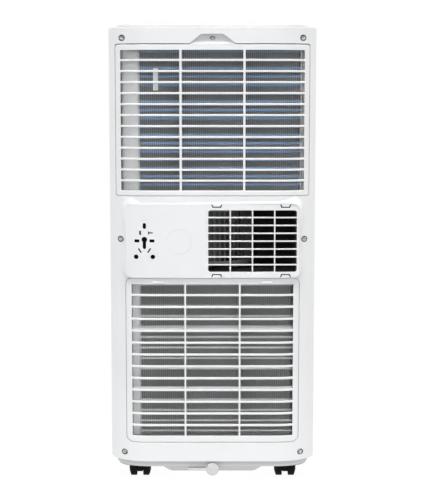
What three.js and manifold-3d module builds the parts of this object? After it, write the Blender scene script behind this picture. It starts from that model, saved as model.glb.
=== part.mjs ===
// Portable air conditioner: a tall moulded cabinet on four twin-wheel casters.
// Millimetres, +Z up. The origin is on the floor under the middle of the cabinet, the back faces -Y,
// and the cold-air outlet faces +Y. Right (+X) is the right-hand side of someone looking at the back.
import * as THREE from "three";
import { mergeVertices } from "three/addons/utils/BufferGeometryUtils.js";
import Module from "manifold-3d";

const wasm = await Module();
wasm.setup();

// ---------------------------------------------------------------- driving dimensions

// Cabinet outline in plan: a flat back and front with soft corners.
const HALF_WIDTH = 155.8;
const FRONT_Y = 150;
const REAR_Y = -146;
const REAR_CORNER = { x: 60, y: 45 };
const FRONT_CORNER = { x: 45, y: 45 };
const WALL = 2.5;
const GAP = 0.4;

// Heights of the cabinet.
const SKIRT_Z = 32;
const SHELL_TOP = 685;
const TOP_Z = 690;
const SEAM_Y = REAR_Y + 50;

// Louvred grilles in the back. Each opens about its lower edge.
const UPPER = {
  halfWidth: 143.8, bottom: 437.2, top: 659.3, corner: 1.5, headroom: 1.7,
  openHalf: 136.3, openBottom: 444.8, openTop: 651.4, posts: 47.1, postWidth: 3.7,
};
const LOWER = {
  halfWidth: 129.8, bottom: 62.4, top: 313, corner: 9, headroom: 1.1,
  openHalf: 121.3, openBottom: 71.6, openTop: 304, posts: 40.9, postWidth: 2.9,
};
const GRILLE_ROWS = 13;
const GRILLE_BAR = 3.2;
const GRILLE_DEPTH = 4.5;
const GRILLE_SEAM = 1.1;
const FILTER = { front: 5, thickness: 1.5, overlap: 2.5 };
const REBATE = { front: 8, back: 10, wall: 3, lip: 5 };

// Raised service plate between the two grilles: plug parking on the left, hot-air outlet on the right.
const PLATE = { y: -150, halfWidth: 130.3, bottom: 314.5, top: 425.2, corner: 10, skin: 3, slope: 10 };
const EXHAUST = {
  left: -6.4, right: 125.7, bottom: 323.4, top: 416, corner: 3.7,
  posts: [26.5, 59.6, 92.7], rows: 8, bar: 2.4,
};
// The hose adapter's seat takes in the right-hand part of the plate, as far as its edges.
const ADAPTER_SEAT = { left: -9, depth: 1.2 };
const TONGUES = { x: [6.3, 108.9], base: 14, tip: 10, height: 3.7, slot: 1, inset: 0.8 };
const PARKING = { x: -101.5, z: 369.8 };
const PORT = { x: -49.6, z: 368.7, radius: 18.8 };

// Screws that hold the back on.
const SCREWS = {
  screw_top_left: [-134, 669.4], screw_top_right: [134, 669.4], screw_top_centre: [0, 667.8],
  screw_middle_left: [-137.9, 371], screw_middle_right: [137.9, 371],
  screw_bottom_left: [-134, 44.4], screw_bottom_right: [134, 44.4],
};
const SCREW = { head: 4.1, headHeight: 2.4, shank: 1.9, length: 11, recess: 4.8, sunk: 4.4 };
const SCREW_BOSS = { radius: 7.4, depth: 7 };
const SCOOP = { topHalf: 16.3, bottomHalf: 33, top: 674.6, bottom: 661.4, depth: 6, wall: 2 };

// Casters.
const CASTER = {
  x: 112, y: 98, trail: 8, radius: 15, tread: 9.2, inner: 4.8, hub: 11.6, hubRadius: 9,
  axle: 2, hood: 14, stem: 4, stemHeight: 14,
};
const CASTER_WELL = { radius: 28.5, top: 36, wall: 2.5, socket: 18 };

// Base tray and drain.
const BASE = { inset: 8.5, bottom: 21, top: 58, floor: 3.5, wall: 3 };
const SUMP = { half: 75, flat: 58, bottom: 13.8, rear: -133, front: -60 };
const DRAIN = { z: 20.8, bore: 5.5, spout: 8, cap: 10.1, rear: -148, capBack: -143.4 };
const DRAIN_TAIL = { left: -36, right: -6, bottom: 16.2, top: 21.4, inset: 1, thickness: 1.8 };
const GLAND = { y: -60, z: 30, flange: 7.2, barrel: 5.2, bore: 4, notch: 9 };

// Heat exchangers, and the outer edges of the covers beside their return bends.
const EVAPORATOR = { left: -111, right: 133.4, bottom: 440, top: 656, rear: -116, front: -90, cover: -133.7 };
const CONDENSER = { left: -110.7, right: 128, bottom: 64, top: 309, rear: -118, front: -84, cover: -131 };
const END_PLATE = 1.5;
const COIL_COVER = { sheet: 1.5, rearGap: 3, frontGap: 6 };
const SENSOR = {
  left: -88.8, right: -81, bottom: 592.5, top: 626, stand: 4.5, thickness: 2.5, legs: [597, 618], leg: 4,
};
const DRIP_TRAY = {
  left: -109, right: 138, rear: -128, front: -82, bottom: 427, deck: 433, rim: 439.4, wall: 3,
};

// Hot-air blower: its axis is upright through (x, y), and its outlet is behind the service plate.
const HOT = {
  x: 0, y: -62, hand: 1, start: 67, end: 124.6, wall: 2, outlet: -84.4, inlet: 52, low: 321, high: 419,
  wheelRadius: 62, wheelLow: 330, wheelHigh: 414, blades: 20, motorRadius: 33, motorTop: 425, motorHole: 36,
};
// Cold-air blower: its axis runs from back to front through (x, z), low and high are places along it, and its
// outlet faces up.
const COLD = {
  x: 52, z: 534, hand: -1, start: 73, end: 108, wall: 2, outlet: -79, inlet: 56, low: -68, high: 8,
  wheelRadius: 68, wheelLow: -60, wheelHigh: 0, blades: 14, motorRadius: 36, motorTop: 46, motorHole: 41,
};
const SCROLL_SWEEP = THREE.MathUtils.degToRad(263);
const DISH = { radius: 38, depth: 34 };
const BLADE = { chord: 9, thickness: 1.4, lean: 0.5 };

// Cold-air outlet and its louvres in the upper front.
const OUTLET = { half: 104, bottom: 575, top: 655, corner: 8 };
const LOUVRE = { y: 133, chord: 25.2, thickness: 3, crank: 10, pin: 1.5, crankPin: 1.1, half: 97.5 };
const LOUVRE_Z = [641.7, 615, 588.3];
const LINK = { x: -101, thickness: 2, half: 1.8, end: 2.6 };
const DUCT = { rear: -70, floorEnd: 14, rampEnd: 100, wall: 2, margin: 2 };
const STEPPER = { radius: 10, length: 13, socket: 7 };

// Control panel in the top.
const PANEL = { half: 82, rear: 84, front: 124, bottom: 686.4, top: 689.4, corner: 8 };
const PANEL_LEDGE = { width: 4, bottom: 683.5 };
const BUTTONS = { y: 104, radius: 6, top: 690, bottom: 684.6 };
const BUTTON_X = { timer_button: -20, fan_button: 2, down_button: 24, up_button: 46, power_button: 68 };
const DISPLAY = { left: -72, right: -38, rear: 96, front: 112 };

// Refrigeration and electrics. A pipe's points are its route.
const COMPRESSOR = { x: 55, y: 35, radius: 54, bottom: 74, top: 258, footRadius: 58, footTurn: 0.3 };
const ACCUMULATOR = { x: -32, y: 62, radius: 20, bottom: 108, top: 240 };
const DRIER = { x: -139, y: -69, radius: 8.5, bottom: 180, top: 262 };
const SUCTION_PIPE = { radius: 4.8, steps: 22, inletRadius: 5, inletSteps: 7 };
const DISCHARGE_PIPE = { radius: 3.6, steps: 24 };
const LIQUID_PIPE = { radius: 2.4, steps: 26 };
const CONTROL_BOX = { left: -130, right: 8, rear: -62, front: 66, bottom: 660, top: 677, wall: 2 };
const CAPACITOR = {
  left: 20, right: 84, y: -20, z: 668.5, radius: 8.5, strap: 4, strapBottom: 659.4, strapTop: 662,
};

// Grip cups in the sides.
const GRIP = { y: 0, half: 50, bottom: 585, top: 625, depth: 24, wall: 2, corner: 8 };

const SMOOTH = 4;
const FAR = 400;

// ---------------------------------------------------------------- materials

function finish(color, roughness, metalness) {
  return new THREE.MeshStandardMaterial({ color, roughness, metalness });
}

const plastic = (color, roughness = 0.45) => finish(color, roughness, 0);
const metal = (color, roughness = 0.35) => finish(color, roughness, 1);
const WHITE = plastic(0xf0f1f2);
const INNER_WHITE = plastic(0xe2e3e4, 0.55);
const BASE_WHITE = plastic(0xd9dadb, 0.5);
const CHARCOAL = plastic(0x303234, 0.5);
const BLACK = plastic(0x1a1a1a, 0.55);
const FILTER_GREY = plastic(0x55585a, 0.8);
const SMOKED = plastic(0x15181b, 0.1);
const RUBBER = plastic(0xe6e7e8, 0.7);
const STEEL = metal(0x9b9d9f);
const ALUMINIUM = metal(0xb9bcbf, 0.4);
const BLUE_FIN = metal(0x44719a, 0.45);
const COPPER = metal(0xb87550, 0.3);
const ENAMEL = plastic(0x1e1f21, 0.35);
const BOARD = plastic(0x2f5d3a, 0.6);

// ---------------------------------------------------------------- solid helpers

function solid(geometry) {
  const bare = new THREE.BufferGeometry();
  bare.setAttribute("position", geometry.getAttribute("position"));
  bare.setIndex(geometry.index);
  const merged = mergeVertices(bare, 1e-4);
  const kept = [];
  const index = merged.index.array;
  for (let i = 0; i < index.length; i += 3) {
    const [a, b, c] = [index[i], index[i + 1], index[i + 2]];
    if (a !== b && b !== c && a !== c) kept.push(a, b, c);
  }
  const vertProperties = merged.attributes.position.array;
  return new wasm.Manifold(new wasm.Mesh({ numProp: 3, vertProperties, triVerts: new Uint32Array(kept) }));
}

function geometryOf(made) {
  const { vertProperties, triVerts } = made.getMesh();
  return new THREE.BufferGeometry()
    .setAttribute("position", new THREE.BufferAttribute(new Float32Array(vertProperties), 3))
    .setIndex(new THREE.BufferAttribute(new Uint32Array(triVerts), 1));
}

const join = (first, ...rest) => rest.reduce((made, next) => made.add(next), first);
const cut = (first, ...rest) => rest.reduce((made, next) => made.subtract(next), first);

function box([x0, x1], [y0, y1], [z0, z1]) {
  const geometry = new THREE.BoxGeometry(x1 - x0, y1 - y0, z1 - z0);
  return solid(geometry.translate((x0 + x1) / 2, (y0 + y1) / 2, (z0 + z1) / 2));
}

function extrude(shape, length, curveSegments) {
  return new THREE.ExtrudeGeometry(shape, { depth: length, bevelEnabled: false, curveSegments });
}

// An outline in plan, raised from z0 to z1.
const upright = (shape, [z0, z1], segments = SMOOTH) =>
  solid(extrude(shape, z1 - z0, segments).translate(0, 0, z0));

// An outline in X and Z, run from y0 to y1.
const slab = (shape, [y0, y1], segments = SMOOTH) =>
  solid(extrude(shape, y1 - y0, segments).rotateX(Math.PI / 2).translate(0, y1, 0));

// An outline in Y and Z, run from x0 to x1.
const across = (shape, [x0, x1], segments = SMOOTH) =>
  solid(extrude(shape, x1 - x0, segments).rotateX(Math.PI / 2).rotateZ(Math.PI / 2).translate(x0, 0, 0));

// A round bar along one axis, through the point given by its other two coordinates.
function bar(axis, [a, b], radius, [from, to], sides = 12, endRadius = radius) {
  const geometry = new THREE.CylinderGeometry(endRadius, radius, to - from, sides);
  if (axis === "x") geometry.rotateZ(-Math.PI / 2).translate((from + to) / 2, a, b);
  if (axis === "y") geometry.translate(a, (from + to) / 2, b);
  if (axis === "z") geometry.rotateX(Math.PI / 2).translate(a, b, (from + to) / 2);
  return solid(geometry);
}

// A turned solid about an upright axis from (radius, height) pairs that start and end on the axis.
function turned(pairs, sides, x = 0, y = 0) {
  const geometry = new THREE.LatheGeometry(pairs.map(([r, z]) => new THREE.Vector2(r, z)), sides);
  return solid(geometry.rotateX(Math.PI / 2).translate(x, y, 0));
}

function roundRect([x0, x1], [y0, y1], r) {
  const shape = new THREE.Shape();
  const quarter = Math.PI / 2;
  shape.absarc(x1 - r, y0 + r, r, -quarter, 0);
  shape.absarc(x1 - r, y1 - r, r, 0, quarter);
  shape.absarc(x0 + r, y1 - r, r, quarter, 2 * quarter);
  shape.absarc(x0 + r, y0 + r, r, 2 * quarter, 3 * quarter);
  shape.closePath();
  return shape;
}

const polygon = (pairs) => new THREE.Shape(pairs.map(([a, b]) => new THREE.Vector2(a, b)));

// A round tube along a smooth curve through the points.
function pipe(points, radius, steps, sides = 6) {
  const path = new THREE.CatmullRomCurve3(points.map((p) => new THREE.Vector3(...p)), false, "centripetal");
  const section = new THREE.Shape().absarc(0, 0, radius, 0, 2 * Math.PI);
  const outline = new THREE.Shape(section.getSpacedPoints(sides).slice(0, sides));
  return solid(new THREE.ExtrudeGeometry(outline, { extrudePath: path, steps, bevelEnabled: false }));
}

// The cabinet's outline in plan, moved inwards by inset.
function plan(inset) {
  const shape = new THREE.Shape();
  const quarter = Math.PI / 2;
  const rearX = HALF_WIDTH - REAR_CORNER.x;
  const frontX = HALF_WIDTH - FRONT_CORNER.x;
  const rear = [REAR_Y + REAR_CORNER.y, REAR_CORNER.x - inset, REAR_CORNER.y - inset];
  const front = [FRONT_Y - FRONT_CORNER.y, FRONT_CORNER.x - inset, FRONT_CORNER.y - inset];
  shape.absellipse(frontX, ...front, 0, quarter);
  shape.absellipse(-frontX, ...front, quarter, 2 * quarter);
  shape.absellipse(-rearX, ...rear, 2 * quarter, 3 * quarter);
  shape.absellipse(rearX, ...rear, 3 * quarter, 4 * quarter);
  shape.closePath();
  return shape;
}

// The space between two insets of the cabinet's outline.
const band = (outer, inner, z) => cut(upright(plan(outer), z), upright(plan(inner), [z[0] - 1, z[1] + 1]));

// Where the cabinet's back surface lies at x.
function rearSurface(x) {
  const beyond = Math.max(0, Math.abs(x) - (HALF_WIDTH - REAR_CORNER.x));
  return REAR_Y + REAR_CORNER.y * (1 - Math.sqrt(1 - (beyond / REAR_CORNER.x) ** 2));
}

// ---------------------------------------------------------------- back: grilles, filters and the panel

// Rows and columns of openings between bars and posts, as solids to cut away.
function openings([left, right], [bottom, top], rows, barHeight, posts, postWidth) {
  const pitch = (top - bottom + barHeight) / rows;
  const edges = [left, ...posts.flatMap((x) => [x - postWidth / 2, x + postWidth / 2]), right];
  const made = [];
  for (let row = 0; row < rows; row++) {
    const low = bottom + row * pitch;
    for (let i = 0; i < edges.length; i += 2) {
      made.push(box([edges[i], edges[i + 1]], [-FAR, 0], [low, low + pitch - barHeight]));
    }
  }
  return made;
}

function grille(spec) {
  const outline = roundRect([-spec.halfWidth, spec.halfWidth], [spec.bottom, spec.top], spec.corner);
  const frame = slab(outline, [-FAR, 0], 2).intersect(band(0, GRILLE_DEPTH, [spec.bottom - 1, spec.top + 1]));
  const holes = openings(
    [-spec.openHalf, spec.openHalf], [spec.openBottom, spec.openTop],
    GRILLE_ROWS, GRILLE_BAR, [-spec.posts, spec.posts], spec.postWidth,
  );
  return cut(frame, ...holes);
}

function filter(spec) {
  const half = spec.openHalf + FILTER.overlap;
  const z = [spec.openBottom - FILTER.overlap, spec.openTop + FILTER.overlap];
  return band(FILTER.front, FILTER.front + FILTER.thickness, z).intersect(box([-half, half], [-FAR, 0], z));
}

function windowShape(spec, grow) {
  const half = spec.halfWidth + GRILLE_SEAM + grow;
  const corner = Math.max(1, spec.corner + GRILLE_SEAM + grow);
  const z = [spec.bottom - GRILLE_SEAM - grow, spec.top + spec.headroom + grow];
  return roundRect([-half, half], z, corner);
}

// The ledge behind a grille's edge, which the grille closes against.
function rebate(spec) {
  const z = [spec.bottom - 20, spec.top + 20];
  const block = slab(windowShape(spec, REBATE.wall), [-FAR, 0], 2).intersect(band(WALL - 1, REBATE.back, z));
  const pocket = slab(windowShape(spec, 0), [-FAR, 0], 2).intersect(band(-5, REBATE.front, z));
  return cut(block, pocket, slab(windowShape(spec, -REBATE.lip), [-FAR, 0], 2));
}

function plateShape(inset, corner) {
  const x = [-PLATE.halfWidth + inset, PLATE.halfWidth - inset];
  return roundRect(x, [PLATE.bottom + inset, PLATE.top - inset], corner);
}

// Pin holes of the common mains plugs, so that any of them can be parked.
function parkingHoles() {
  const y = [-FAR, -100];
  const at = (x, z) => [PARKING.x + x, PARKING.z + z];
  const around = (middle, size) => [middle - size / 2, middle + size / 2];
  const slot = ([x, z], width, height) => box(around(x, width), y, around(z, height));
  const slanted = (side) => {
    const geometry = new THREE.BoxGeometry(1.6, 60, 7.2).rotateY(THREE.MathUtils.degToRad(-side * 33));
    const [x, z] = at(side * 7, -14.4);
    return solid(geometry.translate(x, PLATE.y, z));
  };
  return [
    slot(at(0, 22.4), 4.3, 8.2), slot(at(-6.4, 12), 2.2, 6.2),
    slot(at(6.4, 12), 2.2, 6.2), slot(at(9.4, 12), 6, 2),
    slot(at(-11.2, 0), 6.8, 4.1), slot(at(11.2, 0), 6.8, 4.1),
    slot(at(0, -5), 4.5, 14), bar("y", at(0, 2), 3.9, y, 10),
    bar("y", at(-12.5, -23.9), 3.2, y, 8), bar("y", at(12.5, -23.9), 3.2, y, 8),
    slanted(-1), slanted(1),
  ];
}

// U-shaped slots that leave a springy tongue at the edge of the adapter seat.
function tongueSlots() {
  const outline = (x, edge, way, grow, height) => polygon([
    [x - TONGUES.base / 2 - grow, edge], [x + TONGUES.base / 2 + grow, edge],
    [x + TONGUES.tip / 2 + grow, edge + way * height], [x - TONGUES.tip / 2 - grow, edge + way * height],
  ]);
  const [top, bottom] = [PLATE.top - TONGUES.inset, PLATE.bottom + TONGUES.inset];
  const ends = TONGUES.x.flatMap((x) => [[x, top, -1], [x, bottom, 1]]);
  return ends.map(([x, edge, way]) => cut(
    slab(outline(x, edge, way, TONGUES.slot, TONGUES.height + TONGUES.slot), [-FAR, -100]),
    slab(outline(x, edge, way, 0, TONGUES.height), [-FAR, -90]),
  ));
}

function servicePlate(cavity) {
  const raised = slab(plateShape(0, PLATE.corner), [PLATE.y, -100], 3);
  const slope = across(polygon([
    [REAR_Y + 1, PLATE.top + PLATE.slope], [REAR_Y, PLATE.top + PLATE.slope],
    [PLATE.y, PLATE.top], [REAR_Y + 1, PLATE.top],
  ]), [-HALF_WIDTH + REAR_CORNER.x, HALF_WIDTH - REAR_CORNER.x]);
  return join(cut(raised, cavity), slope);
}

function adapterSeat() {
  const x = [ADAPTER_SEAT.left, PLATE.halfWidth + 1];
  return box(x, [PLATE.y - 1, PLATE.y + ADAPTER_SEAT.depth], [PLATE.bottom - 1, PLATE.top]);
}

function exhaustOpenings() {
  const x = [EXHAUST.left, EXHAUST.right];
  const z = [EXHAUST.bottom, EXHAUST.top];
  const holes = openings(x, z, EXHAUST.rows, EXHAUST.bar, EXHAUST.posts, EXHAUST.bar);
  return join(...holes).intersect(slab(roundRect(x, z, EXHAUST.corner), [-FAR, 0], 2));
}

// A tapered finger recess over the upper grille, sunk into a block behind the skin.
function scoopShape(grow) {
  return polygon([
    [-SCOOP.bottomHalf - grow, SCOOP.bottom - grow], [SCOOP.bottomHalf + grow, SCOOP.bottom - grow],
    [SCOOP.topHalf + grow, SCOOP.top + grow], [-SCOOP.topHalf - grow, SCOOP.top + grow],
  ]);
}

function rearPanel() {
  const z = [SKIRT_Z, SHELL_TOP];
  const cavity = upright(plan(WALL), [0, TOP_Z + 10]);
  const inside = upright(plan(0.5), z);
  const behindSeam = box([-FAR, FAR], [-FAR, SEAM_Y], z);
  const bosses = Object.values(SCREWS).map(([x, height]) => {
    const y = [screwSeat(x) - 12, screwSeat(x) + SCREW_BOSS.depth];
    return bar("y", [x, height], SCREW_BOSS.radius, y, 10).intersect(inside);
  });
  const recesses = Object.values(SCREWS).flatMap(([x, height]) => {
    const seat = screwSeat(x);
    return [
      bar("y", [x, height], SCREW.recess, [-FAR, seat], 12),
      bar("y", [x, height], SCREW.shank + GAP, [seat - 1, -90], 8),
    ];
  });
  const scoopBlock = slab(scoopShape(SCOOP.wall), [REAR_Y + 1, REAR_Y + SCOOP.depth + SCOOP.wall]);
  const skin = join(
    band(0, WALL, z), servicePlate(cavity), rebate(UPPER), rebate(LOWER), scoopBlock, ...bosses,
  );
  const made = cut(
    skin,
    slab(plateShape(PLATE.skin, 3), [PLATE.y + PLATE.skin, -60], 2),
    slab(windowShape(UPPER, 0), [-FAR, REAR_Y + 1], 2),
    slab(windowShape(UPPER, 0), [-FAR, 0], 2).intersect(band(-5, REBATE.front, [400, 700])),
    slab(windowShape(LOWER, 0), [-FAR, 0], 2).intersect(band(-5, REBATE.front, [20, 330])),
    slab(scoopShape(0), [-FAR, REAR_Y + SCOOP.depth]),
    adapterSeat(), exhaustOpenings(), ...tongueSlots(), ...parkingHoles(),
    bar("y", [PORT.x, PORT.z], PORT.radius, [-FAR, -100], 28),
    ...recesses,
  );
  return made.intersect(behindSeam);
}

// Depth of the floor that a screw's head sits on.
const screwSeat = (x) => (x === 0 ? REAR_Y + SCOOP.depth + 3 : rearSurface(x) + SCREW.sunk);

// A screw about Y, with the underside of its head at the origin.
function screw() {
  const head = bar("y", [0, 0], SCREW.head, [-SCREW.headHeight, 0], 12);
  return join(head, bar("y", [0, 0], SCREW.shank, [-1, SCREW.length], 8));
}

function portBlank() {
  return bar("y", [PORT.x, PORT.z], PORT.radius - GAP, [PLATE.y, PLATE.y + PLATE.skin], 28);
}

// ---------------------------------------------------------------- front, top, base and grips

function frontShell() {
  const z = [SKIRT_Z, SHELL_TOP];
  const gripShape = roundRect([GRIP.y - GRIP.half, GRIP.y + GRIP.half], [GRIP.bottom, GRIP.top], GRIP.corner);
  const gripHole = across(gripShape, [-FAR, FAR], 2);
  const outletShape = roundRect([-OUTLET.half, OUTLET.half], [OUTLET.bottom, OUTLET.top], OUTLET.corner);
  const outlet = slab(outletShape, [0, FAR], 2);
  const cordNotch = bar("x", [GLAND.y, GLAND.z], GLAND.notch, [0, FAR], 14);
  return cut(
    band(0, WALL, z).intersect(box([-FAR, FAR], [SEAM_Y + GAP, FAR], z)), gripHole, outlet, cordNotch,
  );
}

function gripCup() {
  const inset = (by) => roundRect([GRIP.y - GRIP.half + by, GRIP.y + GRIP.half - by],
    [GRIP.bottom + by, GRIP.top - by], GRIP.corner - by);
  const from = HALF_WIDTH - GRIP.depth;
  return cut(
    across(inset(GAP), [from, HALF_WIDTH], 2),
    across(inset(GAP + GRIP.wall), [from + GRIP.wall, FAR], 2),
  );
}

function topCover() {
  const panelHole = (grow, z) => {
    const x = [-PANEL.half - grow, PANEL.half + grow];
    return upright(roundRect(x, [PANEL.rear - grow, PANEL.front + grow], PANEL.corner), z, 2);
  };
  const lid = cut(
    join(upright(plan(6), [679, TOP_Z]), upright(plan(WALL + GAP), [679, SHELL_TOP - GAP])),
    upright(plan(9), [670, TOP_Z - WALL]),
  );
  return cut(
    join(lid, panelHole(PANEL_LEDGE.width, [PANEL_LEDGE.bottom, TOP_Z - 1])),
    panelHole(GAP, [PANEL.bottom - GAP, TOP_Z + 5]),
    panelHole(-PANEL_LEDGE.width, [650, TOP_Z + 5]),
  );
}

function controlPanel() {
  const outline = roundRect([-PANEL.half, PANEL.half], [PANEL.rear, PANEL.front], PANEL.corner);
  const plate = upright(outline, [PANEL.bottom, PANEL.top], 2);
  const through = [PANEL.bottom - 1, PANEL.top + 1];
  const display = box([DISPLAY.left, DISPLAY.right], [DISPLAY.rear, DISPLAY.front], through);
  const hole = BUTTONS.radius + GAP;
  const holes = Object.values(BUTTON_X).map((x) => bar("z", [x, BUTTONS.y], hole, through, 12));
  return cut(plate, display, ...holes);
}

function displayWindow() {
  return box([DISPLAY.left + GAP, DISPLAY.right - GAP], [DISPLAY.rear + GAP, DISPLAY.front - GAP],
    [PANEL.bottom, PANEL.top - GAP]);
}

function button() {
  return join(
    bar("z", [0, 0], BUTTONS.radius, [BUTTONS.bottom + 1, BUTTONS.top], 12),
    bar("z", [0, 0], BUTTONS.radius + 1.6, [BUTTONS.bottom, BUTTONS.bottom + 1.2], 12),
  );
}

function baseTray() {
  const wells = [-1, 1].flatMap((sx) => [-1, 1].map((sy) => [sx * CASTER.x, sy * CASTER.y]));
  const sumpShape = (half, top, flat, bottom) =>
    polygon([[-half, top], [-flat, bottom], [flat, bottom], [half, top]]);
  const outer = sumpShape(SUMP.half, BASE.bottom + 2, SUMP.flat, SUMP.bottom);
  const inner = sumpShape(SUMP.half - 5, BASE.bottom + 5, SUMP.flat - 3, SUMP.bottom + 3);
  const sump = slab(outer, [SUMP.rear, SUMP.front]);
  const sumpHollow = slab(inner, [SUMP.rear + 3, SUMP.front - 3]);
  const pan = cut(
    join(upright(plan(BASE.inset), [BASE.bottom, BASE.top]), sump),
    upright(plan(BASE.inset + BASE.wall), [BASE.bottom + BASE.floor, BASE.top + 1]),
    sumpHollow,
  );
  const { radius, top, wall, socket } = CASTER_WELL;
  const within = upright(plan(BASE.inset + 1), [0, top + 3]);
  const pegs = wells.map(([x, y]) => join(
    bar("z", [x, y], radius + wall, [BASE.bottom + 1, top + 5], 20).intersect(within),
    bar("z", [x, y], CASTER.stem + 4, [top, top + socket], 10),
  ));
  const hollows = wells.flatMap(([x, y]) => [
    bar("z", [x, y], radius, [0, top], 20),
    bar("z", [x, y], CASTER.stem + 0.5, [0, top + socket - 3], 10),
  ]);
  const spout = bar("y", [0, DRAIN.z], DRAIN.spout, [DRAIN.capBack + GAP, SUMP.rear + 2], 14);
  const [screwX, screwZ] = SCREWS.screw_bottom_right;
  const notches = [-screwX, screwX].map((x) =>
    bar("y", [x, screwZ], SCREW_BOSS.radius + GAP, [-FAR, screwSeat(x) + SCREW.length + GAP], 12));
  return cut(
    join(pan, ...pegs, spout), ...hollows, ...notches,
    bar("y", [0, DRAIN.z], DRAIN.bore + GAP, [-FAR, SUMP.rear + 6], 12),
    bar("x", [GLAND.y, GLAND.z], GLAND.barrel + GAP, [HALF_WIDTH - 20, HALF_WIDTH + 5], 12),
  );
}

// A bush that lines the cord's hole through the side of the base.
function cordGland() {
  const side = HALF_WIDTH - BASE.inset;
  const at = [GLAND.y, GLAND.z];
  return cut(
    join(
      bar("x", at, GLAND.flange, [side + GAP, side + 4.5], 14, GLAND.flange - 0.8),
      bar("x", at, GLAND.barrel, [side - BASE.wall - 2, side + 1], 12),
    ),
    bar("x", at, GLAND.bore, [side - 20, side + 20], 10),
  );
}

// Rubber cap with a hollow stub and the flat tail that keeps it from getting lost.
function drainPlug() {
  const cap = bar("y", [0, DRAIN.z], DRAIN.cap, [DRAIN.rear, DRAIN.capBack], 24);
  const stub = bar("y", [0, DRAIN.z], DRAIN.bore, [DRAIN.capBack - 1, SUMP.rear + 4], 12);
  const { left, right, bottom, top, inset, thickness } = DRAIN_TAIL;
  const tail = box([left, right], [DRAIN.rear + inset, DRAIN.rear + inset + thickness], [bottom, top]);
  return join(cap, stub, tail);
}

// ---------------------------------------------------------------- casters

// Both pieces of a caster are drawn about the swivel axis, on the floor at the origin.
function casterFork() {
  const axle = -CASTER.trail;
  const web = across(polygon([
    [axle - 12, 8], [axle + 12, 8], [12, 24], [12, 33], [axle - 12, 33], [axle - 15, 22],
  ]), [-CASTER.inner + GAP, CASTER.inner - GAP]);
  return cut(
    join(
      web,
      bar("z", [0, 0], CASTER.hood, [31.5, CASTER_WELL.top - GAP], 12),
      bar("z", [0, 0], CASTER.stem, [CASTER_WELL.top - 1, CASTER_WELL.top + CASTER.stemHeight], 8),
    ),
    bar("x", [axle, CASTER.radius], CASTER.axle + GAP, [-20, 20], 8),
  );
}

function casterWheels() {
  const { inner, tread, hub, hubRadius, radius, trail, axle } = CASTER;
  const outline = [
    [0, inner], [radius, inner], [radius, inner + tread], [hubRadius, inner + hub], [0, inner + hub],
  ];
  const profile = outline.map(([r, h]) => new THREE.Vector2(r, h));
  const wheel = (side) => {
    const made = new THREE.LatheGeometry(profile, 16).rotateZ(-Math.PI / 2);
    if (side < 0) made.rotateY(Math.PI);
    return solid(made.translate(0, -trail, radius));
  };
  return join(wheel(-1), wheel(1), bar("x", [-trail, radius], axle, [-inner - 1, inner + 1], 8));
}

// ---------------------------------------------------------------- heat exchangers

function coil(spec) {
  const { left, right, bottom, top, rear, front } = spec;
  const block = box([left + 1, right - 1], [rear, front], [bottom + 1, top - 1]);
  const ends = [left, right - END_PLATE].map((x) =>
    box([x, x + END_PLATE], [rear - 2, front + 2], [bottom, top]));
  return join(block, ...ends);
}

// An angled sheet that closes the space beside a coil's return bends.
function coilCover(spec) {
  const rear = spec.rear - COIL_COVER.rearGap;
  const z = [spec.bottom + 1, spec.top - 1];
  return join(
    box([spec.cover, spec.left - GAP], [rear - COIL_COVER.sheet, rear], z),
    box([spec.cover, spec.cover + COIL_COVER.sheet], [rear - 1, spec.front - COIL_COVER.frontGap], z),
  );
}

// A plate that holds the thermostat's bulb, on two legs against the evaporator.
function sensorClip() {
  const { left, right, bottom, top, stand, thickness, legs, leg } = SENSOR;
  const fins = EVAPORATOR.rear - GAP;
  const middle = (left + right) / 2;
  return join(
    box([left, right], [fins - stand - thickness, fins - stand], [bottom, top]),
    ...legs.map((z) => box([middle - leg / 2, middle + leg / 2], [fins - stand - 1, fins], [z, z + leg])),
  );
}

// The deck between the two halves of the cabinet, with the trough that the evaporator drips into.
function dripTray() {
  const { left, right, bottom, deck, rim, rear, front, wall } = DRIP_TRAY;
  const tall = [bottom - 1, rim + 1];
  const plate = upright(plan(WALL + 2), [bottom, deck]).intersect(box([left, FAR], [-FAR, FAR], tall));
  const clear = upright(plan(REBATE.back + GAP), tall);
  const trough = box([left, right], [rear, front], [bottom, rim]).intersect(clear);
  const inside = upright(plan(REBATE.back + wall), tall);
  const hollow = box([left + wall, right - wall], [rear + wall, front - wall], [bottom + wall, rim + 1]);
  const basin = box([left + 5, right + 2], [front + 4, FRONT_Y - 30], [bottom + wall, rim + 1]);
  return cut(join(plate, trough), hollow.intersect(inside), basin);
}

// ---------------------------------------------------------------- blowers

// A scroll's outline about the origin. Its radius grows from start, at the cut-off, to end, on the side that
// hand points to, and both ends run straight to the outlet.
function scrollShape({ start, end, hand }, outlet, grow) {
  const steps = 18;
  const points = [];
  for (let i = 0; i <= steps; i++) {
    const angle = SCROLL_SWEEP * (1 - i / steps);
    const radius = start + ((end - start) * i) / steps + grow;
    points.push([hand * radius * Math.cos(angle), radius * Math.sin(angle)]);
  }
  points.push([hand * (end + grow), outlet], [points[0][0], outlet]);
  return polygon(points);
}

// A scroll casing about an upright axis at the origin, with its inlet in the lower plate.
function scroll(spec) {
  const { low, high, wall, outlet, inlet, motorHole } = spec;
  return cut(
    upright(scrollShape(spec, outlet, wall), [low, high]),
    upright(scrollShape(spec, outlet - 1, 0), [low + wall, high - wall]),
    bar("z", [0, 0], inlet, [low - 1, low + wall + 1], 20),
    bar("z", [0, 0], motorHole, [high - wall - 1, high + 1], 16),
  );
}

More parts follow.
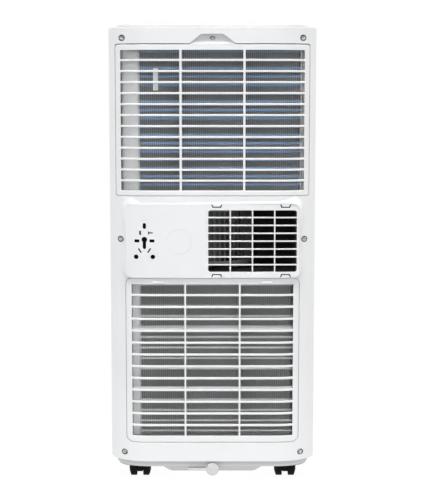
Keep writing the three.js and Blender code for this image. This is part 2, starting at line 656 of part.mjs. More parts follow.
// A blower wheel: a dished end plate, a ring at the inlet and blades between them.
function wheel({ wheelRadius: radius, wheelLow: low, wheelHigh: high, blades }) {
  const dishTop = high - DISH.depth;
  const plate = turned([
    [0, dishTop - 2], [DISH.radius + 2, dishTop - 2], [DISH.radius + 2, high - 3], [radius, high - 3],
    [radius, high], [DISH.radius, high], [DISH.radius, dishTop], [0, dishTop],
  ], 20);
  const ring = cut(
    bar("z", [0, 0], radius, [low, low + 4], 20),
    bar("z", [0, 0], radius - 4, [low - 1, low + 5], 20),
  );
  const vanes = [];
  for (let i = 0; i < blades; i++) {
    const blade = new THREE.BoxGeometry(BLADE.chord, BLADE.thickness, high - low - 2).rotateZ(BLADE.lean);
    blade.translate(radius - 6.5, 0, (high + low) / 2).rotateZ((2 * Math.PI * i) / blades);
    vanes.push(solid(blade));
  }
  return join(plate, ring, ...vanes);
}

// A fan motor: can, flange that bolts to the outside of the scroll, and shaft down to the wheel's dish.
function fanMotor({ motorRadius, motorTop, high, wheelHigh }) {
  const dish = wheelHigh - DISH.depth;
  return join(
    bar("z", [0, 0], motorRadius, [dish + 4, motorTop], 16),
    bar("z", [0, 0], motorRadius + 10, [high + GAP, high + GAP + 2], 16),
    bar("z", [0, 0], 4, [dish + GAP, dish + 5], 8),
  );
}

// The duct that turns the air from the cold scroll to the outlet.
function outletDuct() {
  const floor = COLD.z - COLD.outlet + GAP;
  const [bottom, top] = [OUTLET.bottom - DUCT.margin, OUTLET.top + DUCT.margin];
  const side = (inset, frontEnd) => polygon([
    [DUCT.rear + inset, floor + inset], [DUCT.floorEnd, floor + inset], [DUCT.rampEnd, bottom + inset],
    [frontEnd, bottom + inset], [frontEnd, top - inset], [DUCT.rear + inset, top - inset],
  ]);
  const half = OUTLET.half + 1;
  const end = FRONT_Y - WALL - GAP;
  const inletX = [COLD.x - COLD.end + 1, COLD.x + 8];
  const pins = LOUVRE_Z.map((z) => bar("x", [LOUVRE.y, z], LOUVRE.pin + GAP, [-FAR, FAR], 10));
  return cut(
    across(side(0, end), [-half - DUCT.wall, half + DUCT.wall]),
    across(side(DUCT.wall, end + 5), [-half, half]),
    box(inletX, [COLD.low + 3, COLD.high - 3], [floor - 5, floor + 5]),
    ...pins,
  );
}

// ---------------------------------------------------------------- louvres

// Each blade closes the outlet while upright, and carries a crank that the link joins.
function louvre(z) {
  const blade = across(roundRect([LOUVRE.y - LOUVRE.thickness / 2, LOUVRE.y + LOUVRE.thickness / 2],
    [z - LOUVRE.chord / 2, z + LOUVRE.chord / 2], 1.2), [-LOUVRE.half, LOUVRE.half], 1);
  const arm = across(polygon([
    [LOUVRE.y - LOUVRE.crank - 1.8, z - 1.8], [LOUVRE.y + 1.4, z - 1.8],
    [LOUVRE.y + 1.4, z + 1.8], [LOUVRE.y - LOUVRE.crank - 1.8, z + 1.8],
  ]), [-LOUVRE.half - 1.5, -LOUVRE.half + 1]);
  const reach = OUTLET.half + 2.6;
  return join(
    blade, arm,
    bar("x", [LOUVRE.y, z], LOUVRE.pin, [-reach, -LOUVRE.half + 1], 8),
    bar("x", [LOUVRE.y, z], LOUVRE.pin, [LOUVRE.half - 1, z === LOUVRE_Z[1] ? reach + 6 : reach], 8),
    bar("x", [LOUVRE.y - LOUVRE.crank, z], LOUVRE.crankPin, [LINK.x - 2.6, -LOUVRE.half], 8),
  );
}

function louvreLink() {
  const y = LOUVRE.y - LOUVRE.crank;
  const z = [LOUVRE_Z[2] - LINK.end, LOUVRE_Z[0] + LINK.end];
  const outline = roundRect([y - LINK.half, y + LINK.half], z, 1.7);
  const strip = across(outline, [LINK.x - LINK.thickness / 2, LINK.x + LINK.thickness / 2], 1);
  return cut(strip, ...LOUVRE_Z.map((height) => bar("x", [y, height], LOUVRE.crankPin + 0.3, [-FAR, 0], 10)));
}

// Stepper motor that turns the middle blade from outside the duct.
function louvreMotor() {
  const face = OUTLET.half + 3 + GAP;
  return cut(
    bar("x", [LOUVRE.y, LOUVRE_Z[1]], STEPPER.radius, [face, face + STEPPER.length], 14),
    bar("x", [LOUVRE.y, LOUVRE_Z[1]], LOUVRE.pin + GAP, [face - 1, face + STEPPER.socket], 10),
  );
}

// ---------------------------------------------------------------- refrigeration and electrics

function compressor() {
  const { x, y, radius, bottom, top, footRadius, footTurn } = COMPRESSOR;
  const body = turned([
    [0, bottom], [radius * 0.6, bottom], [radius * 0.92, bottom + 8], [radius, bottom + 22],
    [radius, top - 26], [radius * 0.9, top - 10], [radius * 0.55, top], [0, top],
  ], 18, x, y);
  const feet = [0, 1, 2].flatMap((i) => {
    const angle = (2 * Math.PI * i) / 3 + footTurn;
    const [fx, fy] = [x + footRadius * Math.cos(angle), y + footRadius * Math.sin(angle)];
    const arm = new THREE.BoxGeometry(64, 26, 3).translate(32, 0, 0).rotateZ(angle);
    arm.translate(x, y, bottom + 2);
    return [solid(arm), bar("z", [fx, fy], 9, [BASE.bottom + BASE.floor + GAP, bottom + 2], 10)];
  });
  const terminals = bar("z", [x + 18, y + 10], 13, [top - 8, top + 10], 12);
  return join(body, ...feet, terminals);
}

// Accumulator with the pipe that brings the gas back from the evaporator.
function suctionLine() {
  const { x, y, radius, bottom, top } = ACCUMULATOR;
  const neck = radius - 8;
  const accumulator = turned([
    [0, bottom], [neck, bottom + 2], [radius, bottom + 12], [radius, top - 14], [neck, top - 2], [0, top],
  ], 12, x, y);
  const fromCoil = [
    [x, y, top - 4], [-34, 62, 280], [-90, 50, 300], [-128, 20, 330], [-130, 0, 400], [-130, -40, 480],
    [-124, -78, 500], [-117, -84, 500],
  ];
  const toCompressor = [[x, y, bottom + 4], [-30, 60, 96], [-14, 54, 92], [-1, 46, 92]];
  return join(
    accumulator,
    pipe(fromCoil, SUCTION_PIPE.radius, SUCTION_PIPE.steps),
    pipe(toCompressor, SUCTION_PIPE.inletRadius, SUCTION_PIPE.inletSteps),
  );
}

function dischargeLine() {
  const route = [
    [40, 20, 266], [40, 18, 286], [0, 0, 302], [-80, -30, 302], [-116, -60, 296], [-122, -84, 289],
    [-121, -98, 286], [-115, -100, 286],
  ];
  return pipe(route, DISCHARGE_PIPE.radius, DISCHARGE_PIPE.steps);
}

// Filter drier and capillary from the bottom of the condenser to the bottom of the evaporator.
function liquidLine() {
  const route = [
    [-114, -100, 84], [-121, -96, 85], [-124, -82, 90], [-134, -74, 112], [-139, -70, 200], [-139, -66, 320],
    [-139, -70, 420], [-134, -84, 452], [-122, -98, 456], [-114, -100, 456],
  ];
  const drier = bar("z", [DRIER.x, DRIER.y], DRIER.radius, [DRIER.bottom, DRIER.top], 10);
  return join(pipe(route, LIQUID_PIPE.radius, LIQUID_PIPE.steps), drier);
}

function controlBox() {
  const { left, right, rear, front, bottom, top, wall } = CONTROL_BOX;
  return cut(
    box([left, right], [rear, front], [bottom, top]),
    box([left + wall, right - wall], [rear + wall, front - wall], [bottom + wall, top + 1]),
  );
}

// The circuit board with its transformer, connector block and relay.
function mainBoard() {
  const { left, right, rear, front, bottom, wall } = CONTROL_BOX;
  const edge = 2 * wall;
  const face = bottom + edge + 1;
  return join(
    box([left + edge, right - edge], [rear + edge, front - edge], [face - 1, face + 0.6]),
    box([-110, -78], [-40, -10], [face, face + 10]),
    box([-60, -40], [10, 40], [face, face + 8]),
    box([-30, -10], [-30, 0], [face, face + 10]),
  );
}

function capacitor() {
  const { left, right, y, z, radius, strap, strapBottom, strapTop } = CAPACITOR;
  return join(
    bar("x", [y, z], radius, [left, right], 14),
    box([left + strap, right - strap], [y - strap, y + strap], [strapBottom, strapTop]),
  );
}

// ---------------------------------------------------------------- assembly

const cabinet = new THREE.Group();

function group([x, y, z], turnX = 0, turnZ = 0) {
  const made = new THREE.Group();
  made.position.set(x, y, z);
  made.rotation.set(turnX, 0, turnZ);
  cabinet.add(made);
  return made;
}

function add(name, made, material, parent = cabinet) {
  const mesh = new THREE.Mesh(geometryOf(made), material);
  mesh.name = name;
  parent.add(mesh);
}

add("base_tray", baseTray(), BASE_WHITE);
add("front_shell", frontShell(), WHITE);
add("rear_panel", rearPanel(), WHITE);
add("top_cover", topCover(), WHITE);
add("control_panel", controlPanel(), CHARCOAL);
add("display_window", displayWindow(), SMOKED);
add("upper_grille", grille(UPPER), WHITE);
add("lower_grille", grille(LOWER), WHITE);
add("upper_filter", filter(UPPER), FILTER_GREY);
add("lower_filter", filter(LOWER), FILTER_GREY);
add("right_grip", gripCup(), WHITE);
add("left_grip", gripCup(), WHITE, group([0, 0, 0], 0, Math.PI));
add("port_blank", portBlank(), WHITE);
for (const [name, [x, z]] of Object.entries(SCREWS)) {
  add(name, screw(), STEEL, group([x, screwSeat(x) - GAP, z]));
}

add("drip_tray", dripTray(), INNER_WHITE);
add("evaporator", coil(EVAPORATOR), BLUE_FIN);
add("evaporator_cover", coilCover(EVAPORATOR), INNER_WHITE);
add("condenser", coil(CONDENSER), ALUMINIUM);
add("condenser_cover", coilCover(CONDENSER), INNER_WHITE);
add("sensor_clip", sensorClip(), WHITE);

const hotBlower = group([HOT.x, HOT.y, 0]);
add("exhaust_scroll", scroll(HOT), CHARCOAL, hotBlower);
add("exhaust_wheel", wheel(HOT), CHARCOAL, hotBlower);
add("exhaust_motor", fanMotor(HOT), STEEL, hotBlower);
const coldBlower = group([COLD.x, 0, COLD.z], -Math.PI / 2);
add("cold_scroll", scroll(COLD), CHARCOAL, coldBlower);
add("cold_wheel", wheel(COLD), CHARCOAL, coldBlower);
add("cold_motor", fanMotor(COLD), STEEL, coldBlower);

add("outlet_duct", outletDuct(), INNER_WHITE);
["louvre_upper", "louvre_middle", "louvre_lower"].forEach((name, i) => add(name, louvre(LOUVRE_Z[i]), WHITE));
add("louvre_link", louvreLink(), BLACK);
add("louvre_motor", louvreMotor(), STEEL);

add("compressor", compressor(), ENAMEL);
add("suction_line", suctionLine(), COPPER);
add("discharge_line", dischargeLine(), COPPER);
add("liquid_line", liquidLine(), COPPER);
add("control_box", controlBox(), INNER_WHITE);
add("main_board", mainBoard(), BOARD);
add("capacitor", capacitor(), INNER_WHITE);
add("cord_gland", cordGland(), BLACK);
add("drain_plug", drainPlug(), RUBBER);
for (const [name, x] of Object.entries(BUTTON_X)) add(name, button(), CHARCOAL, group([x, BUTTONS.y, 0]));

for (const [end, sy] of [["rear", -1], ["front", 1]]) {
  for (const [side, sx] of [["left", -1], ["right", 1]]) {
    const caster = group([sx * CASTER.x, sy * CASTER.y, 0]);
    add(`caster_fork_${end}_${side}`, casterFork(), BLACK, caster);
    add(`caster_wheels_${end}_${side}`, casterWheels(), BLACK, caster);
  }
}

export default cabinet;
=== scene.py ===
"""Looks of a portable air conditioner, built round its packed CAD model.

Shapes are worked out in millimetres in the CAD model's frame: +Z is up, the back faces -Y and +X is to the
right, seen from the back. They become metres when a piece is made.
"""
from math import asin, copysign, cos, degrees, pi, radians, sin, sqrt
from types import SimpleNamespace as Sizes

import bmesh
import bpy
from bmesh import ops
from mathutils import Matrix, Vector


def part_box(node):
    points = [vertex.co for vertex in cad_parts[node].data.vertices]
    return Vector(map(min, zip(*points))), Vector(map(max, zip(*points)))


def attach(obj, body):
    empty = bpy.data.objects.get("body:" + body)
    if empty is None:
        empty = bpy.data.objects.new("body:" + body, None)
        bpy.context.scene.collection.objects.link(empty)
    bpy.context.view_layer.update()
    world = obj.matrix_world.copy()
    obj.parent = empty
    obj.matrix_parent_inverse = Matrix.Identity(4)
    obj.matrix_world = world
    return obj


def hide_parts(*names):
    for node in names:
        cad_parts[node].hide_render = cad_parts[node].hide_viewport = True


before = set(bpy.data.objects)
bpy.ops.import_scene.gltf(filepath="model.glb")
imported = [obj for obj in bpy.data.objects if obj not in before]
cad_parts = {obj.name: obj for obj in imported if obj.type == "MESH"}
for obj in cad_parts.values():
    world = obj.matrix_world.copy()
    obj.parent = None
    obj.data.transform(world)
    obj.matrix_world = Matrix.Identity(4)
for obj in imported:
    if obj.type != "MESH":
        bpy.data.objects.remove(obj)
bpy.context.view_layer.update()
MM = 0.001
TAU = 2 * pi


def cad(node):
    """The lowest and highest corners of a CAD node, in millimetres."""
    low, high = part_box(node)
    return low / MM, high / MM


def middle(node):
    """The centre of a CAD node's box, in millimetres."""
    low, high = cad(node)
    return (low + high) / 2


def clamp(value):
    return min(1, max(0, value))


def smooth(t):
    """An ease from 0 to 1 that starts and ends level."""
    return t * t * (3 - 2 * t)


# ---- dimensions

PANEL_LOW, PANEL_HIGH = cad("rear_panel")
SHELL_LOW, SHELL_HIGH = cad("front_shell")
HALF_WIDTH = PANEL_HIGH.x
FRONT_Y = SHELL_HIGH.y
PLATE_Y = PANEL_LOW.y
REAR_Y = PLATE_Y + 4
SEAM_Y = PANEL_HIGH.y
SKIRT_Z = PANEL_LOW.z
SHELL_TOP = PANEL_HIGH.z
TOP_Z = cad("top_cover")[1].z
WALL = 2.5
REAR_CORNER = (60, 45)
REAR_FLAT = HALF_WIDTH - REAR_CORNER[0]
FRONT_CORNER = 45
FRONT_FLAT = HALF_WIDTH - FRONT_CORNER
CORNER_ARC = 53
STRAIGHT_TURN = 0.96
SLICE = 2.6

SEAM = 1.1
GRILLE = Sizes(rows=13, bar=3.2, depth=4.5, corner=0.7, end_corner=0.9)
UPPER = Sizes(side=7.5, bottom=7.6, top=7.9, post_x=47.1, post=3.7, corner=1.8, headroom=1.7)
LOWER = Sizes(side=8.5, bottom=9.2, top=9.0, post_x=40.9, post=2.9, corner=9, headroom=1.1)
LIP = Sizes(reach=0.85, inside=3, depth=1.6)
LEDGE = Sizes(front=8, back=10, wall=3, reach=5)
TABS = Sizes(x=81.5, half=9, below=2.4, above=1.6, proud=2.2)
RIBS = Sizes(z=(144.9, 235.4), height=4.4)
NET = Sizes(across=2.9, up=1.3, depth=5.6, upright=0.14, round=0.035)

PLATE = Sizes(half=130.3, bottom=314.5, top=425.2, corner=10, skin=3, lean=1.3, edge_depth=2.2)
BOW = (0.8, 0.12)
FADE = Sizes(up=10.6, side=6.5, by_screw=2.6, down=0.5, near=9, far=31)
SEAT = Sizes(left=-9, ramp=5, depth_top=1.6, depth_bottom=0.1)
EXHAUST = Sizes(left=-6.4, right=125.7, bottom=323.4, top=415.4, rows=8, bar=2.0, posts=(26.5, 59.6, 92.7),
                post=2.0, corner=0.5, end_corner=3.7)
TONGUES = Sizes(x=(6.3, 108.9), base=13.6, tip=9.8, height=3.4, slot=1.5, top=424.2, bottom=315.3)
PARKING = (-101.5, 369.8)
PIN_PLAY = 0.3
SCOOP = Sizes(top_half=16.3, bottom_half=33, top=674.6, depth=9, lip=0.7, rows=10, columns=12)

FINS = Sizes(pitch=1.45, thickness=0.3, fold=1.6, inset=2, stagger=1.5)
EVAPORATOR_TUBES = Sizes(pitch=12.45, radius=2.4, first=11.5)
CONDENSER_TUBES = Sizes(pitch=16.25, radius=2.3, first=8.4)
BLADES = Sizes(count=48, chord=8.6, half=0.6, steps=5)

OUTLET = (-104, 104, 575, 655, 8)
LID = Sizes(inset=13, bevel=2.4, rim=2.9, rim_inside=16)
BASE = Sizes(bottom=21, height=22, inset=8.5, well=28.4, roof=35.9)
SUMP = Sizes(half=78.5, flat=60, bottom=13.8, top=23, lip=1.4)
CASTERS = ("rear_left", "rear_right", "front_left", "front_right")
BUTTON_NAMES = ("timer_button", "fan_button", "down_button", "up_button", "power_button")
SCREW_NAMES = [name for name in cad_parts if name.startswith("screw_")]
SCREW_WELL = 4.75
MIDDLE_SCREW_Z = middle("screw_middle_left").z

SURROUND = Sizes(near=0.55, far=1.0)
CAMERA = Sizes(lens=94.65, distance=1.95, height=0.5816, tip=6.6)


def rear_y(x):
    """The back surface's depth at x."""
    beyond = clamp((abs(x) - REAR_FLAT) / REAR_CORNER[0])
    return REAR_Y + REAR_CORNER[1] * (1 - sqrt(1 - beyond * beyond))


# ---- outlines

def arc(cx, cy, radius, start, end, steps):
    turn = radians(end - start) / steps
    angles = [radians(start) + i * turn for i in range(steps + 1)]
    return [(cx + radius * cos(angle), cy + radius * sin(angle)) for angle in angles]


CORNERS = ((1, 0, -90), (1, 1, 0), (0, 1, 90), (0, 0, 180))


def corner_arc(x0, x1, y0, y1, corner, radius, steps):
    """One rounded corner of a rectangle."""
    at_right, at_top, start = corner
    cx = x1 - radius if at_right else x0 + radius
    cy = y1 - radius if at_top else y0 + radius
    return arc(cx, cy, radius, start, start + 90, steps)


def round_rect(x0, x1, y0, y1, radius, steps=4):
    return [point for corner in CORNERS for point in corner_arc(x0, x1, y0, y1, corner, radius, steps)]


def rect_round(low, high, grow, radius, steps=4):
    """A rounded outline at a distance round two corners."""
    return round_rect(low[0] - grow, high[0] + grow, low[1] - grow, high[1] + grow, radius, steps)


def circle(cx, cy, radius, steps=28):
    return arc(cx, cy, radius, 0, 360, steps)[:-1]


def cabinet_outline(inset, steps=12):
    """The cabinet in plan, moved inwards."""
    rear, front = REAR_Y + REAR_CORNER[1], FRONT_Y - FRONT_CORNER
    corners = [(1, front, FRONT_CORNER, FRONT_CORNER, 0), (-1, front, FRONT_CORNER, FRONT_CORNER, 90),
               (-1, rear, *REAR_CORNER, 180), (1, rear, *REAR_CORNER, 270)]
    points = []
    for side, cy, across, deep, start in corners:
        for i in range(steps + 1):
            angle = radians(start + 90 * i / steps)
            points.append((side * (HALF_WIDTH - across) + (across - inset) * cos(angle),
                           cy + (deep - inset) * sin(angle)))
    return points


# ---- mesh helpers

def add_object(name, data):
    made = bpy.data.objects.new(name, data)
    bpy.context.scene.collection.objects.link(made)
    return made


def plate_mesh(outlines, low, high, bevel, steps=2):
    """A plate from low to high in Z with rounded edges. The outlines after the first are holes."""
    curve = bpy.data.curves.new("outline", "CURVE")
    curve.dimensions = "2D"
    curve.fill_mode = "BOTH"
    curve.bevel_depth = bevel
    curve.bevel_resolution = steps
    curve.extrude = (high - low) / 2 - bevel
    curve.offset = -bevel
    for outline in outlines:
        spline = curve.splines.new("POLY")
        spline.points.add(len(outline) - 1)
        for point, (a, b) in zip(spline.points, outline):
            point.co = (a, b, 0, 1)
        spline.use_cyclic_u = True
    holder = add_object("outline", curve)
    bpy.context.view_layer.update()
    depsgraph = bpy.context.evaluated_depsgraph_get()
    mesh = bpy.data.meshes.new_from_object(holder.evaluated_get(depsgraph))
    bpy.data.objects.remove(holder)
    bpy.data.curves.remove(curve)
    made = bmesh.new()
    made.from_mesh(mesh)
    bpy.data.meshes.remove(mesh)
    ops.translate(made, verts=made.verts, vec=(0, 0, (low + high) / 2))
    ops.remove_doubles(made, verts=made.verts, dist=0.002)
    ops.recalc_face_normals(made, faces=made.faces)
    return made


def slice_mesh(made, values):
    """Cuts edges into a mesh across X, so that it can be bent there."""
    for x in values:
        geometry = made.verts[:] + made.edges[:] + made.faces[:]
        ops.bisect_plane(made, geom=geometry, dist=0.001, plane_co=(x, 0, 0), plane_no=(1, 0, 0))
    return made


def both_sides(start, step, count):
    """Places in X, evenly spaced from a start on either side of the middle."""
    return [side * (start + step * i) for side in (-1, 1) for i in range(count)]


def moved(made, place):
    """Moves every point of a mesh by a function of its place."""
    for vertex in made.verts:
        vertex.co = Vector(place(*vertex.co))
    return made


def wrap(made, surface):
    """Bends a plate, drawn by distance round a wall and height, onto the wall's surface."""
    def place(distance, z, height):
        x, y, out_x, out_y = surface(distance)
        return x + out_x * height, y + out_y * height, z
    return moved(made, place)


def upright(outlines, low, high, bevel, steps=2):
    """A plate whose outline lies in X and Z and whose upper face faces the back."""
    return moved(plate_mesh(outlines, low, high, bevel, steps), lambda x, y, z: (x, -z, y))


def crosswise(outlines, low, high, bevel):
    """A plate whose outline lies in Y and Z and which is as thick as its place in X."""
    return moved(plate_mesh(outlines, low, high, bevel), lambda x, y, z: (z, x, y))


def bridge(rows, closed):
    """Faces between rows of equally many points, or of one point. Gives the mesh and its rows."""
    made = bmesh.new()
    count = max(len(row) for row in rows)
    grid = [[made.verts.new(point) for point in row] * (count // len(row)) for row in rows]
    for lower, upper in zip(grid, grid[1:]):
        for i in range(count if closed else count - 1):
            k = (i + 1) % count
            corners = list(dict.fromkeys((lower[i], lower[k], upper[k], upper[i])))
            if len(corners) > 2:
                made.faces.new(corners)
    return made, grid


def loft(rings, caps=(False, False)):
    """Joins closed rings of points. A cap fills the first or the last ring."""
    made, rows = bridge(rings, True)
    if caps[0]:
        made.faces.new(rows[0][::-1])
    if caps[1]:
        made.faces.new(rows[-1])
    ops.recalc_face_normals(made, faces=made.faces)
    return made


def at_height(outline, z):
    return [(x, y, z) for x, y in outline]


def revolve(profile, segments=32):
    """A solid turned about Z from (radius, height) pairs."""
    rings = [circle(0, 0, radius, segments) if radius else [(0, 0)] for radius, _ in profile]
    return loft([at_height(ring, z) for ring, (_, z) in zip(rings, profile)])


def box_mesh(low, high, bevel=0.0, segments=2):
    made = bmesh.new()
    low, high = Vector(low), Vector(high)
    place = Matrix.Translation((high + low) / 2) @ Matrix.Diagonal((*(high - low), 1))
    ops.create_cube(made, size=1, matrix=place)
    if bevel:
        ops.bevel(made, geom=made.edges[:], offset=bevel, segments=segments, profile=0.5, affect="EDGES")
    return made


def put(made, place, axis=(0, 0, 1)):
    """Turns a mesh so that its Z points along an axis, and moves it."""
    turn = Vector((0, 0, 1)).rotation_difference(Vector(axis)).to_matrix().to_4x4()
    made.transform(Matrix.Translation(Vector(place)) @ turn)
    return made


def rod(x0, x1, y, z, radius, segments=16):
    """A round bar along X."""
    length = x1 - x0
    bar = revolve([(0, 0), (radius, 0), (radius, length), (0, length)], segments)
    return put(bar, (x0, y, z), (1, 0, 0))


def piece(name, parts, material, slot, replaces=(), body="cabinet", crease=35, weighted=True):
    """Joins meshes in millimetres into one object that rides on a CAD body and stands for CAD nodes."""
    whole = bmesh.new()
    for part in parts:
        part_mesh = bpy.data.meshes.new("part")
        part.to_mesh(part_mesh)
        part.free()
        whole.from_mesh(part_mesh)
        bpy.data.meshes.remove(part_mesh)
    ops.scale(whole, vec=(MM, MM, MM), verts=whole.verts)
    mesh = bpy.data.meshes.new(name)
    whole.to_mesh(mesh)
    whole.free()
    mesh.polygons.foreach_set("use_smooth", [True] * len(mesh.polygons))
    mesh.set_sharp_from_angle(angle=radians(crease))
    mesh.materials.append(material)
    made = add_object(name, mesh)
    if weighted:
        modifier = made.modifiers.new("even shading", "WEIGHTED_NORMAL")
        modifier.keep_sharp = True
        modifier.weight = 100
    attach(made, body)
    if replaces:
        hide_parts(*replaces)


def white_piece(name, parts, replaces=(), **shading):
    """A piece of the white cabinet."""
    piece(name, parts, WHITE, "shell_white", replaces, **shading)


# ---- materials

def feed(tree, node, inputs):
    """Sets a node's inputs by name: a socket is linked, anything else is a constant."""
    for name, value in inputs.items():
        if isinstance(value, bpy.types.NodeSocket):
            tree.links.new(value, node.inputs[name])
        else:
            node.inputs[name].default_value = value


def add_node(tree, kind, output, inputs, **settings):
    """Adds a node and gives one of its outputs."""
    node = tree.nodes.new("ShaderNode" + kind)
    for name, value in settings.items():
        setattr(node, name, value)
    feed(tree, node, inputs)
    return node.outputs[output]


def new_material(name):
    """A material with its node tree, its shader and the place on the object."""
    material = bpy.data.materials.new(name)
    material.use_nodes = True
    tree = material.node_tree
    return material, tree, tree.nodes["Principled BSDF"], add_node(tree, "TexCoord", "Object", {})


def noise(tree, place, scale, detail=3.0):
    return add_node(tree, "TexNoise", "Fac", {"Vector": place, "Scale": scale, "Detail": detail})


def map_range(tree, value, start, end, low, high, **settings):
    """Turns one range of numbers into another."""
    ends = {"From Min": start, "From Max": end, "To Min": low, "To Max": high}
    return add_node(tree, "MapRange", "Result", {"Value": value, **ends}, **settings)


def spread(tree, value, low, high):
    """Stretches a noise to a range of numbers."""
    return map_range(tree, value, 0.3, 0.7, low, high)


def fade_along_y(tree, place, start, end, low, high):
    """A smooth change from one number to another along Y."""
    y = add_node(tree, "SeparateXYZ", "Y", {"Vector": place})
    return map_range(tree, y, start, end, low, high, interpolation_type="SMOOTHSTEP")


def two_tone(tree, value, color, variation):
    """A colour that varies about a tone, by a number from 0 to 1."""
    dark, light = ([min(1, c * factor) for c in color] for factor in (1 - variation, 1 + variation))
    ends = {"A": (*dark, 1), "B": (*light, 1)}
    return add_node(tree, "Mix", "Result", {"Factor": value, **ends}, data_type="RGBA")


def grain(tree, place, scale, height, strength=0.5):
    """A fine bump, with its height in millimetres."""
    bump = {"Strength": strength, "Distance": height * MM, "Height": noise(tree, place, scale, 2.0)}
    return add_node(tree, "Bump", "Normal", bump)


def plastic(name, color, roughness=0.42, variation=0.015, grain_size=0.5, grain_height=0.01, coat=0.0,
            specular=0.5):
    """Moulded plastic: a faint change of tone, uneven gloss and a fine spark-eroded grain."""
    material, tree, shader, place = new_material(name)
    cloud = spread(tree, noise(tree, place, 14), 0, 1)
    feed(tree, shader, {
        "Base Color": two_tone(tree, cloud, color, variation),
        "Roughness": spread(tree, noise(tree, place, 55), roughness - 0.04, roughness + 0.04),
        "Specular IOR Level": specular,
        "Coat Weight": coat,
        "Coat Roughness": 0.25,
        "Normal": grain(tree, place, 1 / (grain_size * MM), grain_height),
    })
    return material


def metal(name, color, roughness=0.35, variation=0.1, brushed=(1, 1, 1), scale=300):
    """Metal with a drawn or rolled surface: the noise is stretched along the brushed direction."""
    material, tree, shader, place = new_material(name)
    stretched = add_node(tree, "Mapping", "Vector", {"Vector": place, "Scale": brushed})
    streaks = noise(tree, stretched, scale)
    feed(tree, shader, {
        "Base Color": two_tone(tree, spread(tree, streaks, 0, 1), color, variation),
        "Roughness": spread(tree, streaks, roughness - 0.07, roughness + 0.07),
        "Metallic": 1.0,
        "Normal": grain(tree, stretched, scale * 3, 0.01, 0.3),
    })
    return material


SHELL_TONE = (0.79, 0.797, 0.805)
# A darker copy of the shell's white: painted shade on the tray under the cabinet, the filter ribs behind the
# lower grille and the drain cap.
PALE_SHADED_TONE = (0.60, 0.605, 0.61)
MATT_BLACK = dict(roughness=0.7, variation=0.1, grain_height=0.02, specular=0.1)

WHITE = plastic("white_moulding", SHELL_TONE, 0.4, coat=0.1)
GRILLE_WHITE = plastic("grille_white", SHELL_TONE, 0.42)
# The lid is the shell's white made darker: painted shade that holds back the strong top light on it.
LID_SHADED_WHITE = plastic("lid_moulding_shaded", (0.66, 0.665, 0.67), 0.4, coat=0.1)
# Whiter than the shell's white: painted light for the parts that sit in the grilles' shade, the sensor clip
# most of all.
CLIP_LIT_WHITE = plastic("clip_white", (0.97, 0.975, 0.98), 0.5)
INNER_LIT_WHITE = plastic("inner_white", (0.92, 0.925, 0.93), 0.5)
BASE_WHITE = plastic("base_white", PALE_SHADED_TONE, 0.45)
FILTER_FRAME = plastic("filter_frame", PALE_SHADED_TONE, 0.5)
NET_WHITE = plastic("filter_net", (0.75, 0.755, 0.76), 0.6, variation=0.1)
# A near-black grey for painted shade: the filter edges and the rings round the screw heads.
PAINTED_SHADE_GREY = plastic("filter_rim", (0.07, 0.072, 0.074), 0.55, variation=0.08, grain_height=0.02)
DARK = plastic("dark_moulding", (0.035, 0.036, 0.038), 0.5, variation=0.08, grain_height=0.02)
WHEEL_DARK = plastic("wheel_moulding", (0.17, 0.172, 0.174), 0.42, variation=0.08)
CASTER_BLACK = plastic("caster_nylon", (0.005, 0.005, 0.0055), **MATT_BLACK)
TREAD = plastic("caster_tread", (0.006, 0.006, 0.0065), 0.75, variation=0.12, grain_size=0.8,
                grain_height=0.03, specular=0.1)
PANEL_DARK = plastic("panel_dark", (0.03, 0.031, 0.034), 0.22, variation=0.05, coat=0.4)
DISPLAY = plastic("display_window", (0.008, 0.009, 0.01), 0.08, variation=0.05, grain_height=0.001, coat=0.6)
ICON = plastic("panel_print", (0.7, 0.7, 0.7), 0.4)
SOFT_WHITE = plastic("soft_rubber", PALE_SHADED_TONE, 0.6, grain_size=0.8, grain_height=0.02)
GLAND_BLACK = plastic("gland_rubber", (0.02, 0.02, 0.021), 0.6, variation=0.1, grain_height=0.03)
# Black for the parking pocket, and painted shade on the floors of the tongue slots.
PIT_BLACK = plastic("pocket_rubber_and_slot_shade", (0.004, 0.004, 0.004), **MATT_BLACK)
STEEL = metal("zinc_steel", (0.62, 0.62, 0.625), 0.3)
MOTOR_STEEL = metal("galvanised_steel", (0.45, 0.455, 0.46), 0.42, variation=0.2, scale=120)
# The fins are much darker than the foil of the coil ends: painted shade of the deep, narrow gaps between
# them.
FIN_SHADED_GREY = metal("fin_foil", (0.22, 0.225, 0.23), 0.5, brushed=(1, 1, 0.05), scale=900)
FIN_SHADED_PLAIN = metal("fin_foil_plain", (0.24, 0.245, 0.25), 0.45, brushed=(1, 1, 0.05), scale=900)
COLLAR_BLUE = plastic("coated_collar", (0.13, 0.33, 0.62), 0.4, variation=0.2)
ALUMINIUM = metal("aluminium_sheet", (0.74, 0.745, 0.75), 0.45, brushed=(1, 1, 0.1), scale=400)
COLLAR_PLAIN = metal("plain_collar", (0.62, 0.63, 0.64), 0.4, brushed=(6, 1, 1), scale=500)
COPPER = metal("copper_tube", (0.72, 0.36, 0.22), 0.3, variation=0.15, scale=90)
ENAMEL = plastic("black_enamel", (0.012, 0.012, 0.013), 0.3, variation=0.15, grain_size=2, grain_height=0.05,
                 coat=0.3)
BOARD = plastic("circuit_board", (0.02, 0.11, 0.045), 0.35, variation=0.15, coat=0.3)

